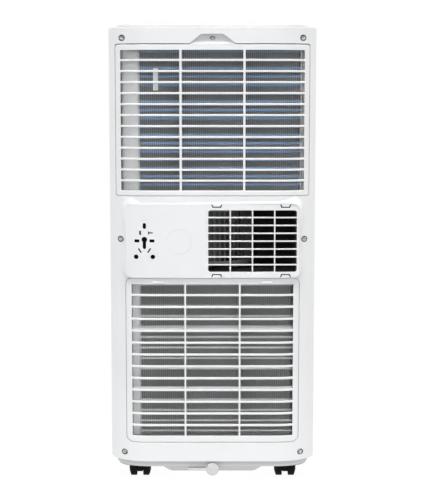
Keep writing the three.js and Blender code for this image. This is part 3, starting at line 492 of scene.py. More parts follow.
CAD_FINISH = (
    (INNER_LIT_WHITE, "drip_tray evaporator_cover condenser_cover outlet_duct control_box capacitor"),
    (DARK, "exhaust_scroll cold_scroll"),
    (MOTOR_STEEL, "exhaust_motor cold_motor louvre_motor"),
    (COPPER, "suction_line discharge_line liquid_line"),
    (WHEEL_DARK, "cold_wheel"),
    (CASTER_BLACK, "louvre_link"),
    (ENAMEL, "compressor"),
    (BOARD, "main_board"),
)


def finish_cad_nodes():
    """Gives the CAD nodes that stay visible their materials."""
    for material, names in CAD_FINISH:
        for name in names.split():
            for material_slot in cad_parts[name].material_slots:
                material_slot.material = material


# ---- the curved back

def along_back(x):
    """Distance round the back from its middle, for a place in X."""
    if abs(x) <= REAR_FLAT:
        return x
    turn = asin(min(1, (abs(x) - REAR_FLAT) / REAR_CORNER[0]))
    return copysign(REAR_FLAT + CORNER_ARC * turn, x)


def turn_corner(distance, flat, radii, arc_radius):
    """Follows a wall from its middle round a corner: place across, depth, side and angle turned."""
    side = copysign(1, distance)
    turn = max(0, abs(distance) - flat) / arc_radius
    past = max(0, turn - pi / 2)
    turn -= past
    across = min(abs(distance), flat) + radii[0] * sin(turn)
    return side * across, radii[1] * (1 - cos(turn)) + past * arc_radius, side, turn


def round_back(distance):
    """Point and outward direction on the back surface, for a distance round it."""
    x, depth, side, turn = turn_corner(distance, REAR_FLAT, REAR_CORNER, CORNER_ARC)
    # The wall is cut straight back where the grilles are, and turns square to the surface further round.
    swing = max(0, (turn - STRAIGHT_TURN) / (pi / 2 - STRAIGHT_TURN))
    inward = Vector((-swing, 1 - swing)).normalized()
    return x, REAR_Y + depth, -side * inward.x, -inward.y


def bend_round_back(made, limit):
    """Bends a plate, drawn by distance round the back and height, onto the back surface."""
    slice_mesh(made, both_sides(REAR_FLAT, SLICE, int((limit - REAR_FLAT) / SLICE) + 1))
    return wrap(made, round_back)


def on_back(outline):
    return [(along_back(x), z) for x, z in outline]


def window_outline(node, spec, scoop=False, grow=0.0):
    low, high = cad(node)
    x0, x1 = low.x - SEAM - grow, high.x + SEAM + grow
    z0, z1 = low.z - SEAM - grow, high.z + spec.headroom + grow
    outline = round_rect(x0, x1, z0, z1, max(1, spec.corner + SEAM + grow))
    if scoop:
        half = len(outline) // 2
        bump = [(SCOOP.bottom_half, z1), (SCOOP.top_half, SCOOP.top),
                (-SCOOP.top_half, SCOOP.top), (-SCOOP.bottom_half, z1)]
        outline = outline[:half] + bump + outline[half:]
    return outline


def bent_plate(outlines, low, high, bevel, steps=2):
    """A plate bent onto the back, with its outlines in X and Z."""
    flat = [on_back(outline) for outline in outlines]
    return bend_round_back(plate_mesh(flat, low, high, bevel, steps), max(flat[0])[0])


def bent_ring(outer, inner, back, front, bevel=0.3):
    """A ring bent onto the back, between two depths under its surface."""
    return bent_plate([outer, inner], -back, -front, bevel, 1)


def window_ledge(node, spec):
    """The wall round a window and the ledge that the grille closes against."""
    growths = (LEDGE.wall, 0, 0.4, -LEDGE.reach)
    outer, edge, rest, inner = (window_outline(node, spec, grow=growth) for growth in growths)
    return [bent_ring(outer, edge, LEDGE.back, WALL + 0.2), bent_ring(rest, inner, LEDGE.back, LEDGE.front)]


def screw_centres():
    """Each screw's place in X and Z, and the depth of its foremost point."""
    for name in SCREW_NAMES:
        centre = middle(name)
        yield centre.x, centre.z, cad(name)[0].y


def rear_skin():
    """The panel's skin with its windows, its screw wells and the hole behind the service plate."""
    edge = along_back(HALF_WIDTH) + (SEAM_Y - REAR_Y - REAR_CORNER[1])
    outer = [(-edge, SKIRT_Z), (edge, SKIRT_Z), (edge, SHELL_TOP), (-edge, SHELL_TOP)]
    holes = [window_outline("upper_grille", UPPER, scoop=True), window_outline("lower_grille", LOWER),
             plate_outline(0.3)]
    holes += [circle(x, z, SCREW_WELL) for x, z, _ in screw_centres() if abs(x) > SCREW_WELL]
    skin = plate_mesh([outer] + [on_back(hole) for hole in holes], -WALL, 0, 0.7)
    return bend_round_back(skin, edge)


def screw_well(x, z, head_y):
    """The wall and floor of a screw's well."""
    floor = head_y + 2.6
    top = [(px, rear_y(px) + 1.0, pz) for px, pz in circle(x, z, SCREW_WELL + 0.15)]
    bottom = [(px, floor, pz) for px, _, pz in top]
    hole = [(px, floor, pz) for px, pz in circle(x, z, 0.5)]
    return loft([top, bottom, hole])


def screw_shade_ring(x, z, head_y):
    """A dark ring round a screw's head: painted shadow of the gap between the head and its well."""
    return put(upright([circle(x, z, 4.5), circle(x, z, 2)], -0.4, 0, 0.1), (0, head_y + 2, 0))


def scoop_pocket():
    """The finger recess over the upper grille: its floor rises from the top wall to the grille's edge."""
    low = cad("upper_grille")[1].z + 0.5
    rim_y = REAR_Y + 0.5
    across = [2 * k / SCOOP.columns - 1 for k in range(SCOOP.columns + 1)]
    rows = []
    for i in range(SCOOP.rows + 1):
        t = i / SCOOP.rows
        z = low + (SCOOP.top - low) * t
        half = SCOOP.bottom_half + (SCOOP.top_half - SCOOP.bottom_half) * t + 0.4
        depth = SCOOP.lip + (SCOOP.depth - SCOOP.lip) * (1 - (1 - t) ** 2.5)
        floor = [(half * u, REAR_Y + depth * (1 - 0.25 * abs(u) ** 6), z) for u in across]
        rows.append([(-half, rim_y, z)] + floor + [(half, rim_y, z)])
    rows.append([(x, rim_y, SCOOP.top + 0.4) for x, _, _ in rows[-1]])
    made, _ = bridge(rows, False)
    ops.remove_doubles(made, verts=made.verts, dist=0.001)
    return made


# ---- service plate

def grid_holes(left, right, bottom, top, rows, bar, posts, post, corner, end_corner):
    """Rounded openings between bars and posts."""
    edges = [left] + [x + side * post / 2 for x in posts for side in (-1, 1)] + [right]
    columns = list(zip(edges[::2], edges[1::2]))
    pitch = (top - bottom + bar) / rows
    holes = []
    for row in range(rows):
        low = bottom + row * pitch
        for column, (x0, x1) in enumerate(columns):
            hole = []
            for place in CORNERS:
                at_end = (column, row) == ((len(columns) - 1) * place[0], (rows - 1) * place[1])
                radius, steps = (end_corner, 5) if at_end else (corner, 2)
                hole += corner_arc(x0, x1, low, low + pitch - bar, place, radius, steps)
            holes.append(hole)
    return holes


def slot_outline(x, z, width, height, radius, turn=0):
    """A rounded slot about a point of the plug parking."""
    a, b = width / 2 + PIN_PLAY, height / 2 + PIN_PLAY
    c, s = cos(radians(turn)), sin(radians(turn))
    return [(PARKING[0] + x + u * c - v * s, PARKING[1] + z + u * s + v * c)
            for u, v in round_rect(-a, a, -b, b, radius, 3)]


def parking_outlines():
    """The holes that park the pins of British, continental, American and Australian plugs."""
    px, pz = PARKING
    key_r, key_half, key_end = 4.2, 2.5, -12.3
    join = degrees(asin(key_half / key_r))
    keyhole = arc(px, pz + 2, key_r, -90 + join, 270 - join, 18)
    keyhole += arc(px, pz + key_end + key_half, key_half, 180, 360, 6)
    tee = [(5.4, 8.9), (7.6, 11.1), (12.4, 11.1), (12.4, 12.9), (7.6, 12.9), (5.4, 15.1)]
    made = [keyhole, [(px + a, pz + b) for a, b in tee],
            slot_outline(0, 22.4, 4.3, 8.2, 1.9), slot_outline(-6.4, 12, 2.1, 6, 0.5)]
    made += [slot_outline(side * 11.2, 0, 6.7, 4, 0.8) for side in (-1, 1)]
    made += [slot_outline(side * 7, -14.4, 1.5, 7.2, 0.6, -33 * side) for side in (-1, 1)]
    return made + [circle(px + side * 12.5, pz - 23.9, 3.5, 20) for side in (-1, 1)]


def tongue_outline(x, edge, way, grow=0.0):
    """A snap tongue from its base, which lies on an edge of the plate, to its tip."""
    base, tip, height = TONGUES.base / 2 + grow, TONGUES.tip / 2 + grow, TONGUES.height + grow
    return [(x + a, edge + way * b) for a, b in ((-base, 0), (-tip, height), (tip, height), (base, 0))]


def tongue_slots():
    """The slots that part the four snap tongues from the plate."""
    made = []
    for x in TONGUES.x:
        for edge, way in ((TONGUES.top, -1), (TONGUES.bottom, 1)):
            slot = tongue_outline(x, edge, way, TONGUES.slot) + tongue_outline(x, edge, way)[::-1]
            made.append(slot[::way])
    return made


def plate_y(x, z):
    """The plate's depth: it leans in towards its top and bows in at its ends, less so by the seat."""
    lean = PLATE.lean * (z - PLATE.bottom) / (PLATE.top - PLATE.bottom)
    return PLATE_Y + lean + (rear_y(x) - REAR_Y) * BOW[x > 0]


def seat_depth(x, z):
    """How deep the hose adapter's seat lies: deepest at the top, level with the plate at the bottom."""
    ramp = smooth(clamp((x - SEAT.left + SEAT.ramp) / (2 * SEAT.ramp)))
    t = clamp((z - PLATE.bottom) / (PLATE.top - PLATE.bottom))
    return ramp * (SEAT.depth_bottom + (SEAT.depth_top - SEAT.depth_bottom) * t)


def laid(outlines, low, high, bevel, steps=2, cuts=()):
    """A plate that follows the service plate's surface and its seat."""
    made = slice_mesh(upright(outlines, low, high, bevel, steps), cuts)
    return moved(made, lambda x, y, z: (x, y + plate_y(x, z) + seat_depth(x, z), z))


def plate_outline(grow=0.0):
    low, high = (-PLATE.half, PLATE.bottom), (PLATE.half, PLATE.top)
    return rect_round(low, high, grow, PLATE.corner + grow, 8)


def port():
    """The blanking disc's centre in X and Z, and its radius."""
    low, high = cad("port_blank")
    return (low.x + high.x) / 2, (low.z + high.z) / 2, (high.x - low.x) / 2


def service_plate():
    """The raised plate with the hot-air grid, plug parking, tongue slots and port."""
    x, z, radius = port()
    holes = grid_holes(**vars(EXHAUST)) + parking_outlines() + tongue_slots()
    holes.append(circle(x, z, radius + 0.35, 48))
    ramp = [SEAT.left + SEAT.ramp * k / 3 for k in range(-3, 4)]
    return laid([plate_outline()] + holes, -PLATE.skin, 0, 0.35, cuts=ramp + both_sides(REAR_FLAT, 4, 9))


def tongue_shadows():
    """Dark floors a little under the surface in the slots round the four snap tongues: painted shade where
    the open interior behind the slots would be dark.
    """
    return [laid([slot], -1.2, -0.8, 0.02, 1) for slot in tongue_slots()]


def tongue_pads():
    """The two upper tongues stand proud of the seat, nearly level with the plate."""
    return [laid([tongue_outline(x, TONGUES.top, -1)], -1, 0.8, 0.3) for x in TONGUES.x]


def side_fade(z):
    """The slope beside the plate is narrow next to the screws at mid-height and wider away from them."""
    away = clamp((abs(z - MIDDLE_SCREW_Z) - FADE.near) / (FADE.far - FADE.near))
    return FADE.by_screw + (FADE.side - FADE.by_screw) * smooth(away)


def plate_skirt(steps=10):
    """The soft slope from the service plate down to the back."""
    base = []
    outline = plate_outline()
    for (x0, z0), (x1, z1) in zip(outline, outline[1:] + outline[:1]):
        parts = max(1, int(abs(z1 - z0) / 6))
        base += [(x0 + (x1 - x0) * k / parts, z0 + (z1 - z0) * k / parts) for k in range(parts)]
    ahead = base[1:] + base[:1]
    behind = base[-1:] + base[:-1]
    normals = [Vector((n[1] - p[1], p[0] - n[0])).normalized() for p, n in zip(behind, ahead)]
    edge = list(zip(base, normals))
    rings = [[(x - n.x * 0.05, plate_y(x, z) + PLATE.edge_depth, z - n.y * 0.05) for (x, z), n in edge]]
    for i in range(steps + 1):
        t = i / steps
        fall = 0.3 * t + 0.7 * smooth(t)
        ring = []
        for (x, z), n in edge:
            reach = n.x ** 2 * side_fade(z) + n.y ** 2 * (FADE.up if n.y > 0 else FADE.down)
            px = x + n.x * reach * t
            ring.append((px, plate_y(x, z) * (1 - fall) + (rear_y(px) + 0.08) * fall, z + n.y * reach * t))
        rings.append(ring)
    return loft(rings)


def parking_cup():
    """The dark pocket behind the plug-parking holes, which takes the pins."""
    x, z = PARKING
    return box_mesh((x - 19, PLATE_Y + 8, z - 31), (x + 19, PLATE_Y + 8.8, z + 30))


def port_rim():
    """The rim that the blanking disc rests on."""
    x, z, radius = port()
    return laid([circle(x, z, radius + way, 48) for way in (2, -2)], -2, -0.75, 0.2)


def port_disc():
    return laid([circle(*port(), 48)], -3, -0.05, 0.5)


# ---- grilles and filters

def grille_mesh(node, spec):
    """A grille's slats and frame, and the lip that laps over the window's edge."""
    low, high = cad(node)
    outer = rect_round(low.xz, high.xz, 0, spec.corner)
    lip = [rect_round(low.xz, high.xz, grow, spec.corner + max(0, grow)) for grow in (LIP.reach, -LIP.inside)]
    sides = (low.x + spec.side, high.x - spec.side, low.z + spec.bottom, high.z - spec.top)
    posts = (-spec.post_x, spec.post_x)
    holes = grid_holes(*sides, GRILLE.rows, GRILLE.bar, posts, spec.post, GRILLE.corner, GRILLE.end_corner)
    return [bent_plate([outer] + holes, -GRILLE.depth, 0, 0.85), bent_ring(*lip, GRILLE.depth, LIP.depth)]


def snap_tabs(node, spec):
    """Two low snap bumps on the grille's upper frame."""
    z = cad(node)[1].z - spec.top + 3.4
    tabs = []
    for x in (-TABS.x, TABS.x):
        outline = round_rect(x - TABS.half, x + TABS.half, z - TABS.below, z + TABS.above, 1.9)
        tabs.append(put(upright([outline], -1, TABS.proud, 1.8, 4), (0, REAR_Y, 0)))
    return tabs


def strand(path, wide, half):
    """A square strand of a net along a path."""
    corners = [half * (wide * a + Vector((0, b, 0))) for a, b in ((-1, -1), (1, -1), (1, 1), (-1, 1))]
    return loft([[Vector(point) + corner for corner in corners] for point in path])


def net_parts(node):
    """A woven net that follows the back: upright strands and strands round the curve."""
    low, high = cad(node)
    made = []
    for i in range(int((high.x - low.x - 4) / NET.across)):
        x = low.x + 2 + i * NET.across
        y = rear_y(x) + NET.depth
        made.append(strand([(x, y, low.z + 1), (x, y, high.z - 1)], Vector((1, 0, 0)), NET.upright))
    stops = [low.x + (high.x - low.x) * k / 40 for k in range(41)]
    for i in range(int((high.z - low.z - 4) / NET.up)):
        z = low.z + 2 + i * NET.up
        path = [(x, rear_y(x) + NET.depth + 0.25, z) for x in stops]
        made.append(strand(path, Vector((0, 0, 1)), NET.round))
    return made


def filter_rim(node):
    """A filter's edge, coloured near-black: painted shade along the inner edge of the grille's opening."""
    low, high = cad(node)
    inner = rect_round(low.xz, high.xz, -3, 0.5, 1)
    return bent_ring(rect_round(low.xz, high.xz, 0, 1), inner, 6.5, 5, 0.2)


def filter_rib(node, z):
    """A white rib across a filter."""
    low, high = cad(node)
    outline = round_rect(low.x + 3, high.x - 3, z - RIBS.height / 2, z + RIBS.height / 2, 0.5, 1)
    return bent_plate([outline], -6.3, -4.8, 0.4)


# ---- coils

def fins(low, high):
    """Upright strips of foil, folded in a V so that they can't be seen through, every second one deeper."""
    back = high.y - FINS.inset
    bottom, top = low.z + 1.2, high.z - 1.2
    half = FINS.thickness / 2
    made = []
    for i in range(int((high.x - low.x - 6) / FINS.pitch)):
        x = low.x + 2.5 + i * FINS.pitch
        front = low.y + FINS.inset + (0 if i % 2 else FINS.stagger)
        rings = []
        for y, fold in ((front, 0), ((low.y + high.y) / 2, FINS.fold), (back, 0)):
            left, right = x + fold - half, x + fold + half
            rings.append([(left, y, bottom), (right, y, bottom), (right, y, top), (left, y, top)])
        made.append(loft(rings, (True, True)))
    return made


def coil_tubes(low, high, spec):
    """Tubes through the fins with their collars, a row close under each face."""
    radius = spec.radius
    made = []
    for y in (low.y + radius + 2.2, high.y - radius - 2.2):
        z = low.z + spec.first
        while z < high.z - radius - 2:
            made.append(rod(low.x + 1.5, high.x - 1.5, y, z, radius, 12))
            z += spec.pitch
    return made


# ---- front, top, base

def front_point(distance):
    """Point and outward direction round the front, from its middle, positive towards -X."""
    x, depth, side, turn = turn_corner(distance, FRONT_FLAT, (FRONT_CORNER, FRONT_CORNER), FRONT_CORNER)
    return -x, FRONT_Y - depth, -side * sin(turn), cos(turn)


def side_distance(y):
    """Distance round the front to a place on the side wall."""
    return FRONT_FLAT + FRONT_CORNER * pi / 2 + (FRONT_Y - FRONT_CORNER - y)


def front_skin():
    """The front shell's skin with the outlet, the two grip holes and a notch over the cord gland."""
    edge = side_distance(SHELL_LOW.y)
    holes = [round_rect(*OUTLET, 5)]
    for node, side in (("left_grip", 1), ("right_grip", -1)):
        low, high = cad(node)
        a, b = sorted((side * side_distance(high.y + 0.4), side * side_distance(low.y - 0.4)))
        holes.append(round_rect(a, b, low.z - 0.4, high.z + 0.4, 8, 5))
    gland = middle("cord_gland")
    outer = [(-edge, SKIRT_Z)] + arc(-side_distance(gland.y), gland.z, 9, 167.5, 12.5, 12)
    outer += [(edge, SKIRT_Z), (edge, SHELL_TOP), (-edge, SHELL_TOP)]
    made = plate_mesh([outer] + holes, -WALL, 0, 0.7)
    slice_mesh(made, both_sides(FRONT_FLAT, FRONT_CORNER * pi / 2 / 22, 23))
    return wrap(made, front_point)


def grip_cup(node):
    """A finger recess with rounded floor edges."""
    low, high = cad(node)
    rings = []
    for inset, depth, radius in ((0.3, 0.6, 7), (0.6, 1.6, 7), (1.6, 18, 7), (2.6, 20.8, 7), (5, 22, 6)):
        x = copysign(HALF_WIDTH - depth, high.x)
        rings.append([(x, y, z) for y, z in rect_round(low.yz, high.yz, -inset, radius, 6)])
    return loft(rings, (False, True))


def top_mesh():
    """The inset lid, the ledge round it and the shelf under the control panel."""
    low, high = cad("control_panel")
    opening = rect_round(low.xy, high.xy, 0.5, 8.5, 6)
    lid = plate_mesh([cabinet_outline(LID.inset), opening], SHELL_TOP - 4, TOP_Z, LID.bevel, 5)
    ring = [cabinet_outline(LID.rim), cabinet_outline(LID.rim_inside)]
    rim = plate_mesh(ring, SHELL_TOP - 5, SHELL_TOP - 0.5, 0.4)
    shelf = plate_mesh([rect_round(low.xy, high.xy, 4, 8)], low.z - 2.6, low.z - 0.3, 0.3)
    return [lid, rim, shelf]


def base_parts():
    """The tray with its caster wells and its sump."""
    bottom, roof = BASE.bottom, BASE.roof
    wells = list(caster_centres())
    holes = [circle(x, y, BASE.well, 40) for x, y in wells]
    parts = [plate_mesh([cabinet_outline(BASE.inset)] + holes, bottom, bottom + BASE.height, 5, 5)]
    wall = BASE.well + 0.1
    for x, y in wells:
        rings = [at_height(circle(x, y, radius, 40), z)
                 for radius, z in ((wall, bottom + 3), (wall, roof), (1, roof))]
        parts.append(loft(rings, (False, True)))
    return parts + sump()


def sump(steps=10):
    """The low middle of the tray, with ends that rise softly and a dark slit over the drain's tail."""
    half, rise = SUMP.half, SUMP.top - SUMP.lip
    left = []
    for i in range(steps + 1):
        t = i / steps
        drop = sin(t * pi / 2) ** 1.6
        left.append((-half + (half - SUMP.flat) * t, rise - (rise - SUMP.bottom) * drop))
    outline = left + [(-x, z) for x, z in reversed(left)] + [(half, SUMP.top), (-half, SUMP.top)]
    slit = round_rect(-36, -11, 18.9, 19.7, 0.3, 2)
    return [upright([outline, slit], 129, 133, 1.2, 3), upright([outline], 60, 128.5, 0.8, 1)]


# ---- casters, screws, drain

def caster_centres():
    """The swivel axes in plan, in the order of CASTERS."""
    for place in CASTERS:
        low, high = cad(f"caster_fork_{place}")
        yield (low.x + high.x) / 2, high.y - 14


def caster_wheel_parts(x, y, z):
    """Two wheels with dished hubs and a ribbed tread, on one axle."""
    profile = [(0, 4.9), (5, 4.9), (5.5, 5.6), (12.4, 5.6), (13, 4.9), (14.6, 4.9), (14.95, 5.3), (15, 9.4),
               (15, 13), (14.8, 13.8), (12.6, 14.6), (10.2, 15.5), (7.4, 16.35), (6.4, 16.35), (6, 15.6),
               (3.4, 15.6), (3, 16.3), (0, 16.35)]
    wheels = [put(revolve(profile, 40), (x, y, z), (side, 0, 0)) for side in (-1, 1)]
    return wheels + [rod(x - 5.5, x + 5.5, y, z, 2)]


def caster_fork_parts(x, y):
    """The web between the wheels and the cap that swivels in the tray."""
    axle = y - 8
    outline = [(axle - 11, 9.5), (axle - 9.5, 8), (axle + 8.5, 8), (axle + 11, 10), (y + 11.5, 23),
               (y + 11.5, 32.5), (axle - 12, 32.5), (axle - 14.3, 28), (axle - 14.3, 20)]
    web = crosswise([outline, circle(axle, 15, 2.4, 20)], -4.3, 4.3, 0.8)
    cap = [(0, 31.4), (13.2, 31.4), (13.9, 32), (13.9, 34.8), (13.2, 35.5), (4.2, 35.5), (4, 36), (0, 36)]
    return [put(web, (x, 0, 0)), put(revolve(cap), (x, y, 0))]


def screw_head(name):
    """A pan-head screw with a cross recess."""
    centre = middle(name)
    profile = [(0, 2.35), (1.2, 2.33), (2.2, 2.2), (2.9, 1.9), (3.3, 1.4), (3.4, 0.7), (3.4, 0), (1.7, 0),
               (1.7, -6), (0, -6)]
    head = revolve(profile, 48)
    for vertex in head.verts:
        arm, along = sorted((abs(vertex.co.x), abs(vertex.co.y)))
        if vertex.co.z >= 1.5 and arm < 0.75 and along < 2.7:
            vertex.co.z -= 1.5 * (1 - along / 3.2)
    return put(head, (centre.x, cad(name)[0].y + 2.4, centre.z), (0, -1, 0))


def drain_parts():
    """The round cap with its stem and its flat tail."""
    low, high = cad("drain_plug")
    z = (low.z + high.z) / 2 - 0.9
    r = (high.z - low.z) / 2 - 0.5
    cap = revolve([(0, 0), (r - 2.2, 0), (r - 0.7, 0.4), (r, 1.4), (r, 3.6), (r - 0.6, 4.4), (r - 1.5, 4.6),
                   (5.4, 4.6), (5.4, 18), (0, 18)], 48)
    outline = [(-7, z - 2.2), (-7, z + 2.4), (low.x + 1, z + 2)] + arc(low.x + 1, z + 1, 1, 90, 180, 3)
    tail = upright([outline + arc(low.x + 1, z - 0.8, 1, 180, 270, 3)], -3, -1.2, 0.5)
    return [put(cap, (0, low.y, z), (0, 1, 0)), put(tail, (0, low.y, 0))]


def gland_mesh():
    low, high = cad("cord_gland")
    centre = middle("cord_gland")
    length = high.x - low.x
    made = revolve([(4, 0), (5.1, 0), (5.1, 5.2), (7.1, 5.2), (7.1, length - 2.2), (6.2, length - 0.3),
                    (4.8, length), (4.2, length - 0.6), (4, length - 2), (4, 0)])
    return put(made, (low.x, centre.y, centre.z), (1, 0, 0))


# ---- blowers

def blade_outline(turn, inner, outer):
    """A forward-curved blade in plan."""
    near, far = [], []
    for i in range(BLADES.steps + 1):
        t = i / BLADES.steps
        radius = inner + (outer - inner) * t
        lean = turn + 0.035 * t * t - 0.13 * t
        for row, side in ((near, -1), (far, 1)):
            angle = lean + side * BLADES.half / radius
            row.append((radius * cos(angle), radius * sin(angle)))
    return near + far[::-1]


def blower_wheel(node):
    """A squirrel-cage wheel with forward-curved blades, a ring at each end and a dished hub."""
    low, high = cad(node)
    centre = middle(node)
    r = (high.x - low.x) / 2
    parts = []
    for n in range(BLADES.count):
        outline = blade_outline(TAU * n / BLADES.count, r - BLADES.chord, r - 0.6)
        blade = loft([at_height(outline, z) for z in (low.z + 2, high.z - 2)])
        parts.append(put(blade, (centre.x, centre.y, 0)))
    ring = [(r - 5, 0), (r - 0.3, 0), (r, 0.5), (r, 5.5), (r - 0.6, 6), (r - 5, 6), (r - 5, 0)]
    hub = [(0, -36), (38, -36), (40, -33), (40, -3), (r - 0.3, -3), (r, -2.5), (r, -0.4), (r - 0.6, 0),
           (38.5, 0), (37, -1.5), (36.5, -31), (34, -33.5), (0, -33.5)]
    for profile, z in ((ring, low.z), (hub, high.z)):
        parts.append(put(revolve(profile, 64), (centre.x, centre.y, z)))
    return parts


# ---- louvres and control panel

def louvre_parts(node):
    """A louvre with rounded long edges, its pivot, its arm and its crank pin."""
    low, high = cad(node)
    y, z = high.y - 1.5, middle(node).z
    bottom, top = low.z + 1.2, high.z - 1.2
    outline = [(y - 1.45, bottom)] + arc(y, bottom + 0.1, 1.3, 200, 340, 5)
    outline += [(y + 1.45, bottom), (y + 1.45, top)] + arc(y, top - 0.1, 1.3, 20, 160, 5) + [(y - 1.45, top)]
    arm = box_mesh((-99, low.y, z - 1.8), (-96.5, y + 1.3, z + 1.8), 0.3, 1)
    return [crosswise([outline], -97.5, 97.5, 0.4), rod(low.x, high.x, y, z, 1.45), arm,
            rod(-103.5, -97, low.y + 1.8, z, 1.1)]


def button_mesh(node):
    centre = middle(node)
    profile = [(0, -0.25), (3.2, -0.2), (4.8, 0), (5.6, -0.1), (5.95, -0.5), (5.95, -4.4), (7.4, -4.4),
               (7.4, -5.3), (0, -5.3)]
    return put(revolve(profile, 40), (centre.x, centre.y, cad(node)[1].z))


def printed(outline):
    """A flat mark on the control panel."""
    z = cad("control_panel")[1].z - 0.02
    return plate_mesh([outline], z, z + 0.12, 0.03, 1)


def ring_mark(x, y, radius, width, start, end, steps=24):
    outer = arc(x, y, radius + width / 2, start, end, steps)
    return printed(outer + arc(x, y, radius - width / 2, end, start, steps))


def bar_mark(x, y, width, height):
    return printed(round_rect(x - width / 2, x + width / 2, y - height / 2, y + height / 2, 0.2, 2))


def panel_marks():
    """Plain symbols printed beside the buttons: clock, fan, down, up and power."""
    clock, fan, down, up, power = (middle(name).x for name in BUTTON_NAMES)
    y = cad("timer_button")[1].y + 3
    marks = [ring_mark(clock, y, 2, 0.4, 20, 340), bar_mark(clock, y + 0.6, 0.4, 1.4)]
    for k in range(3):
        a = TAU * k / 3
        marks.append(ring_mark(fan + 1.1 * cos(a), y + 1.1 * sin(a), 1, 0.4, 20, 340))
    for x, way in ((down, -1), (up, 1)):
        marks.append(printed([(x - 1.8, y - way * 1.1), (x + 1.8, y - way * 1.1), (x, y + way * 1.5)]))
    return marks + [ring_mark(power, y, 2, 0.45, 120, 420), bar_mark(power, y + 1.8, 0.45, 2)]


def panel_mesh():
    """The control panel with openings for the display and the buttons."""
    low, high = cad("control_panel")
    window_low, window_high = cad("display_window")
    outlines = [rect_round(low.xy, high.xy, 0, 8, 6), rect_round(window_low.xy, window_high.xy, 0.4, 0.6, 2)]
    outlines += [circle(middle(name).x, middle(name).y, 6.4, 36) for name in BUTTON_NAMES]
    return plate_mesh(outlines, low.z, high.z, 0.3)


def sensor_parts():
    """The clip's rounded body, its rib and the two pins that hold it in the coil."""
    low, high = cad("sensor_clip")
    body = upright([rect_round(low.xz, high.xz, 0, 1.4)], -2.4, 0, 0.6)
    rib = box_mesh((low.x + 2.6, low.y - 0.5, low.z + 3), (high.x - 2.6, low.y + 0.4, high.z - 3), 0.3)
    pins = [box_mesh((low.x + 2, low.y + 2, z), (high.x - 2, high.y, z + 4), 0.3, 1)
            for z in (low.z + 4.5, high.z - 8)]
    return [put(body, (0, low.y, 0)), rib] + pins


# ---- assembly

def build_back():
    screws = list(screw_centres())
    white_piece("rear_panel_shell", [rear_skin()], ["rear_panel"])
    white_piece("window_ledges", window_ledge("upper_grille", UPPER) + window_ledge("lower_grille", LOWER))
    white_piece("service_plate", [service_plate()] + tongue_pads())
    white_piece("plate_surround", [plate_skirt()], crease=60, weighted=False)
    white_piece("screw_wells", [screw_well(*screw) for screw in screws if abs(screw[0]) > SCREW_WELL])
    white_piece("finger_recess", [scoop_pocket()], crease=50, weighted=False)
    # The tongue-slot floors in this piece are painted shade.
    piece("parking_pocket_and_slot_shade", [parking_cup()] + tongue_shadows(), PIT_BLACK, "gland_black")
    white_piece("port_seat", [port_rim()])
    white_piece("port_disc", [port_disc()], ["port_blank"])
    # The dark rings round the screw heads are painted shadow.
    piece("screw_shade_rings", [screw_shade_ring(*screw) for screw in screws], PAINTED_SHADE_GREY, "screw_steel")
    for name in SCREW_NAMES:
        piece(name + "_head", [screw_head(name)], STEEL, "screw_steel", [name], crease=50)


def build_grilles():
    for place, spec, tabs in (("upper", UPPER, []), ("lower", LOWER, snap_tabs("lower_grille", LOWER))):
        grille, screen = f"{place}_grille", f"{place}_filter"
        slats = grille_mesh(grille, spec) + tabs
        piece(f"{place}_slats", slats, GRILLE_WHITE, "shell_white", [grille], grille)
        # The filter frame's near-black colour is painted shade.
        piece(f"{screen}_frame", [filter_rim(screen)], PAINTED_SHADE_GREY, "filter_white", [screen], grille)
        piece(f"{place}_net", net_parts(screen), NET_WHITE, "filter_white", (), grille, weighted=False)
    ribs = [filter_rib("lower_filter", z) for z in RIBS.z]
    piece("lower_filter_ribs", ribs, FILTER_FRAME, "filter_white", (), "lower_grille")


def build_coil(name, slot, tubes, fin_material, tube_material, guard=()):
    low, high = cad(name)
    piece(f"{name}_fins", fins(low, high), fin_material, slot, [name])
    piece(f"{name}_tubes", coil_tubes(low, high, tubes), tube_material, slot)
    ends = [box_mesh((x, low.y, low.z), (x + 1.4, high.y, high.z), 0.2, 1) for x in (low.x, high.x - 1.4)]
    piece(f"{name}_ends", ends + list(guard), ALUMINIUM, slot)


def build_coils():
    low, high = cad("evaporator")
    guard = box_mesh((high.x + 1.4, low.y - 1, low.z + 4), (high.x + 4, low.y + 1, high.z - 2), 0.3, 1)
    build_coil("evaporator", "cold_fins", EVAPORATOR_TUBES, FIN_SHADED_GREY, COLLAR_BLUE, [guard])
    side_wall = box_mesh((-138, low.y + 10, low.z + 4), (-133, low.y + 11, high.z - 2), 0.2, 1)
    piece("evaporator_side_wall", [side_wall], INNER_LIT_WHITE, "inner_white")
    build_coil("condenser", "hot_fins", CONDENSER_TUBES, FIN_SHADED_PLAIN, COLLAR_PLAIN)
    piece("sensor_holder", sensor_parts(), CLIP_LIT_WHITE, "inner_white", ["sensor_clip"])
    piece("exhaust_cage", blower_wheel("exhaust_wheel"), WHEEL_DARK, "blower_dark", ["exhaust_wheel"],
          "exhaust_wheel")


def build_cabinet():
    white_piece("front_body", [front_skin()], ["front_shell"])
    piece("top_lid", top_mesh(), LID_SHADED_WHITE, "shell_white", ["top_cover"])
    piece("base_tub", base_parts(), BASE_WHITE, "base_white", ["base_tray"])
    for grip in ("left_grip", "right_grip"):
        white_piece(f"{grip}_cup", [grip_cup(grip)], [grip], weighted=False)
    piece("cord_bush", [gland_mesh()], GLAND_BLACK, "gland_black", ["cord_gland"])
    piece("drain_cap", drain_parts(), SOFT_WHITE, "drain_white", ["drain_plug"], "drain_plug")


